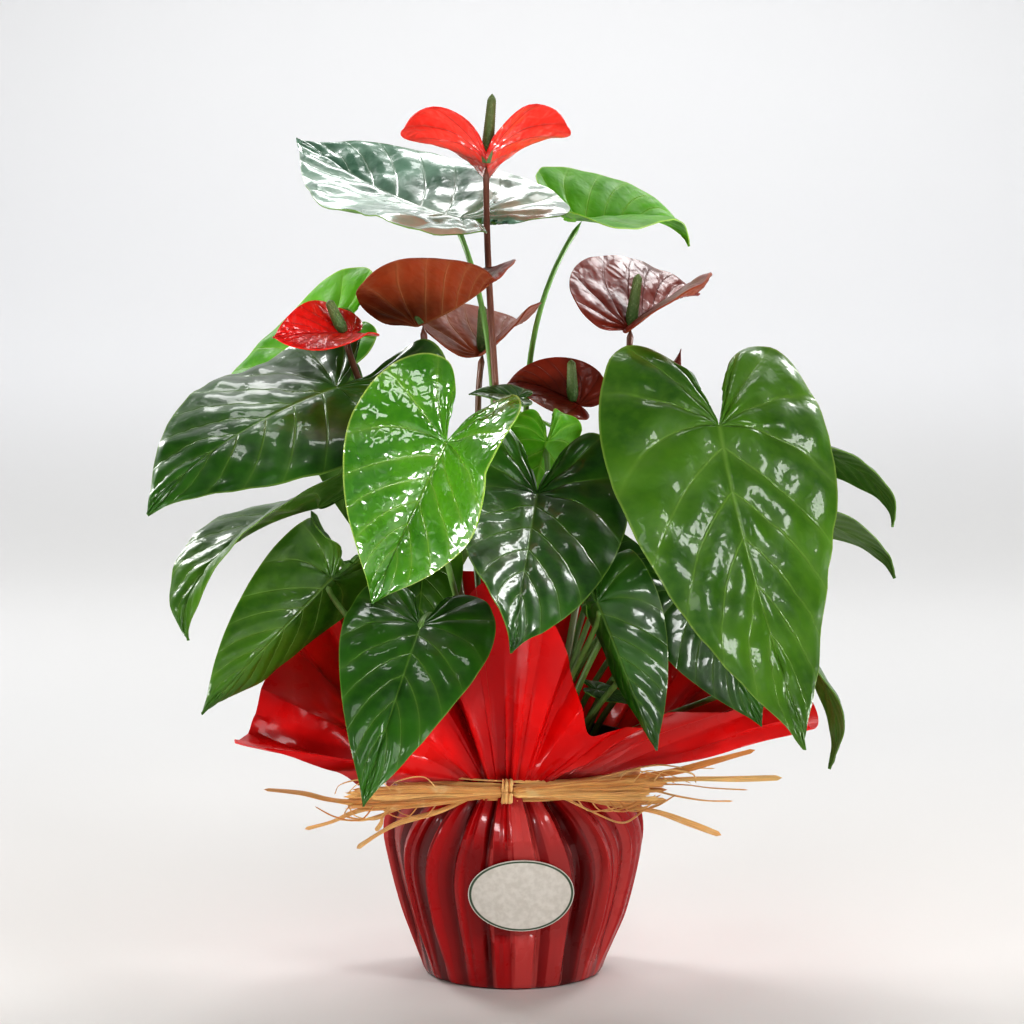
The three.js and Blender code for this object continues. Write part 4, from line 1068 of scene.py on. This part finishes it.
def shapeTail(route, seed):
    rule = random.Random(seed)
    core = [Vector(p) for p in route["core"]]
    strands = []
    for _ in range(raffia["strandsPerTail"]):
        lift = rule.uniform(-1, 1)
        depth = rule.uniform(-1.8, 1.6)
        last = rule.uniform(0.72, 1.04)
        points = []
        for k in range(6):
            s = k / 5 * last
            p = catmull(core, min(s, 1)) + (core[-1] - core[-2]) * max(0, s - 1)
            fan = route["spread"] * (0.32 + 0.68 * smoothStep(0, 0.7, s))
            wobble = rule.uniform(-0.8, 0.8) * s
            points.append(p + Vector((0, depth - 0.8 * (1 - s), fan * lift + wobble)))
        strands.append(strand(points, rule.uniform(1.4, 3.6), rule.uniform(0.4, 0.9), rule))
    for first, middle, last, width in route["singles"]:
        bend = Vector((0, 0, rule.uniform(-2, 2)))
        first, middle, last = Vector(first), Vector(middle), Vector(last)
        points = [core[0], first, (first + middle) / 2 + bend, middle, (middle + last) / 2 - bend * 0.6,
                  last]
        strands.append(strand(points, width, 0.7, rule, 40))
    run = core[-1] - core[0]
    for _ in range(raffia["threadsPerTail"]):
        p = catmull(core, rule.uniform(0.35, 0.9))
        hang = rule.choice((-1, -1, 1))
        points = [p + Vector((0, -1, 3 * hang)), p + run * 0.09 + Vector((0, -3, 11 * hang)),
                  p + run * rule.uniform(0.2, 0.3) + Vector((0, -1, 9 * hang)),
                  p + run * rule.uniform(0.25, 0.4) + Vector((0, 2, 3 * hang))]
        strands.append(strand(points, 0.9, 0.5, rule, 24))
    return gatherStrands(strands)


def shapeBand():
    rule = random.Random(21)
    strands = []
    for i in range(raffia["bandStrands"]):
        height = raffia["tie"] + raffia["bandHeight"] * (i / (raffia["bandStrands"] - 1) - 0.5)
        radius = raffia["reach"] - 1.4 + rule.uniform(0, 0.9)
        sway = rule.uniform(0, roundTurn)
        points = []
        for k in range(25):
            heading = -2 + 360 * k / 24
            z = height + 1.1 * math.sin(math.radians(2 * heading) + sway)
            points.append(onCircle(radius, heading, z))
        strands.append(strand(points, rule.uniform(1.6, 2.8), 0.8, rule, 96))
    return gatherStrands(strands)


def shapeKnot():
    rule = random.Random(33)
    strands = []
    for i in range(raffia["knotLoops"]):
        x = raffia["knotLeft"] + raffia["knotWidth"] * i / (raffia["knotLoops"] - 1)
        tilt = rule.uniform(-1.6, 1.6)
        points = []
        for k in range(13):
            angle = 2 * math.pi * k / 12
            points.append(Vector((x + tilt * math.sin(angle), -77 - 3.6 * math.cos(angle),
                                  raffia["tie"] + 6.4 * math.sin(angle))))
        strands.append(strand(points, rule.uniform(1.4, 2.4), 0.8, rule, 48))
    return gatherStrands(strands)


for name, shape in (("left", shapeTail(tailRoutes["left"], 3)), ("right", shapeTail(tailRoutes["right"], 8)),
                    ("band", shapeBand()), ("knot", shapeKnot())):
    finishPiece(shape, pieceName("raffia", name), ["raffia_" + name], "raffia", [finishes["raffia"]], 60)
print("raffia made")

# Name card: a blank oval bent round the skirt, with a narrow green edge
sign = dict(centre=(5, 58), size=(61, 42), low=(64, 45), high=(73, 84), clear=2.6, thickness=0.8,
            columns=96, rows=14, paper=(0.58, 0.54, 0.48), brightPaper=(0.68, 0.64, 0.58),
            line=(0.030, 0.065, 0.030))


def shapeSign():
    bm = startGrid(sign["columns"], sign["rows"])
    slope = (sign["high"][0] - sign["low"][0]) / (sign["high"][1] - sign["low"][1])
    for v in bm.verts:
        turn, s = (v.co.x + 0.5) * 2 * math.pi, v.co.y + 0.5
        x = sign["centre"][0] + s * sign["size"][0] / 2 * math.cos(turn)
        z = sign["centre"][1] + s * sign["size"][1] / 2 * math.sin(turn)
        radius = sign["low"][0] + slope * (z - sign["low"][1]) + sign["clear"]
        v.co = onCircle(radius, math.degrees(x / radius), z)
    closeUp(bm)
    return thicken(bm, sign["thickness"])


def signMaterial():
    material = startMaterial("card", {"Roughness": 0.36, "Coat Weight": 0.3, "Coat Roughness": 0.18})
    out = partsOf(material, surfacePlace(material))[1]
    paper = blendColor(material, ease(material, objectNoise(material, 300, 4), 0.3, 0.7),
                       sign["paper"], sign["brightPaper"])
    line = sumOf(material, "MULTIPLY", ease(material, out, 0.925, 0.945),
                 ease(material, out, 0.975, 0.985, 1, 0))
    plug(material, "Base Color", blendColor(material, line, paper, sign["line"]))
    plug(material, "Normal", bumpUp(material, objectNoise(material, 900, 2), 0.0002, 0.25))
    return material


finishes["sign"] = signMaterial()
finishPiece(shapeSign(), "signCard", ["sign"], "sign", [finishes["sign"]])
print("card made")

# Studio: pale floor curving up into a white backdrop, windows behind, soft fill in front, and low
# lamps that reach the undersides; in metres, with the floor's bend as its start and its radius
studio = dict(floor=(0.69, 0.668, 0.647), farFloorShade=(0.57, 0.568, 0.565), wall=(0.78, 0.785, 0.80),
              world=0.09, glow=0.25, width=14, front=-6, bend=2, radius=1.6, height=3)


def shapeFloor():
    bm = startGrid(4, 60)
    radius = studio["radius"]
    for v in bm.verts:
        s = v.co.y + 0.5
        if s < 0.5:
            y, z = studio["front"] + (studio["bend"] - studio["front"]) * s / 0.5, 0
        elif s < 0.8:
            angle = (s - 0.5) / 0.3 * math.pi / 2
            y, z = studio["bend"] + radius * math.sin(angle), radius * (1 - math.cos(angle))
        else:
            y, z = studio["bend"] + radius, radius + studio["height"] * (s - 0.8) / 0.2
        v.co = Vector((v.co.x * studio["width"], y, z))
    for face in bm.faces:
        face.smooth = True
    return bm


def backdropMaterial():
    material = startMaterial("backdrop", {"Roughness": 0.7})
    _, back, height = partsOf(material, objectPlace(material))
    # painted shade: the floor is painted darker towards the back
    color = blendColor(material, ease(material, back, -0.1, 1.0), studio["floor"], studio["farFloorShade"])
    plug(material, "Base Color", blendColor(material, ease(material, height, 0.0, 0.30), color,
                                            studio["wall"]))
    plug(material, "Emission Strength", ease(material, height, 0.05, 0.95, 0.0, studio["glow"]))
    return material


studioFloor = addObject("studioFloor", toMesh(shapeFloor(), "studioFloor"))
studioFloor.data.materials.append(backdropMaterial())

world = bpy.data.worlds.new("studio")
world.use_nodes = True
background = world.node_tree.nodes["Background"].inputs
background["Color"].default_value = (1, 1, 1, 1)
background["Strength"].default_value = studio["world"]
bpy.context.scene.world = world

# name, place, aim, width, height, power
lamps = (
    ("windowLeft", (-1.7, 1.7, 2.0), (0, 0, 0.3), 0.8, 1.0, 36),
    ("windowRight", (1.6, 1.8, 2.2), (0, 0, 0.3), 0.8, 1.0, 34),
    ("windowBack", (0, 2.0, 2.6), (0, 0, 0.4), 1.2, 0.8, 18),
    ("skylight", (0, 0.5, 2.5), (0, 0, 0.3), 0.6, 0.30, 4),
    ("sideRight", (1.2, -1.3, 1.35), (0, 0, 0.28), 0.50, 0.55, 14),
    ("sideLeft", (-1.4, -1.3, 1.2), (0, 0, 0.28), 0.30, 0.42, 5),
    ("lowFront", (0.10, -0.85, 0.05), (-0.05, -0.13, 0.27), 0.26, 0.10, 0.30),
    ("underLeft", (-0.78, -0.22, 0.03), (0, -0.02, 0.48), 0.4, 0.2, 1.1),
    ("underRight", (0.80, 0.05, 0.03), (0, -0.02, 0.48), 0.4, 0.2, 1.1),
    ("frontFill", (-0.3, -2.6, 2.2), (0, 0, 0.25), 1.0, 1.0, 13),
    ("wallWash", (0, 1.6, 3.2), (0, 3.6, 1.0), 3.6, 0.8, 15),
)
lowLamps = dict(under=0.1, spread=60)  # a narrow beam keeps them off the floor beside them
for name, place, aim, width, height, power in lamps:
    light = bpy.data.lights.new(name, "AREA")
    light.shape, light.size, light.size_y, light.energy = "RECTANGLE", width, height, power
    if place[2] < lowLamps["under"]:
        light.spread = math.radians(lowLamps["spread"])
    lamp = addObject(name, light)
    lamp.location = place
    lamp.rotation_euler = (Vector(aim) - Vector(place)).to_track_quat("-Z", "Y").to_euler()
bpy.context.scene.view_settings.view_transform = "Standard"
bpy.context.scene.view_settings.look = "Medium High Contrast"
print("studio made")
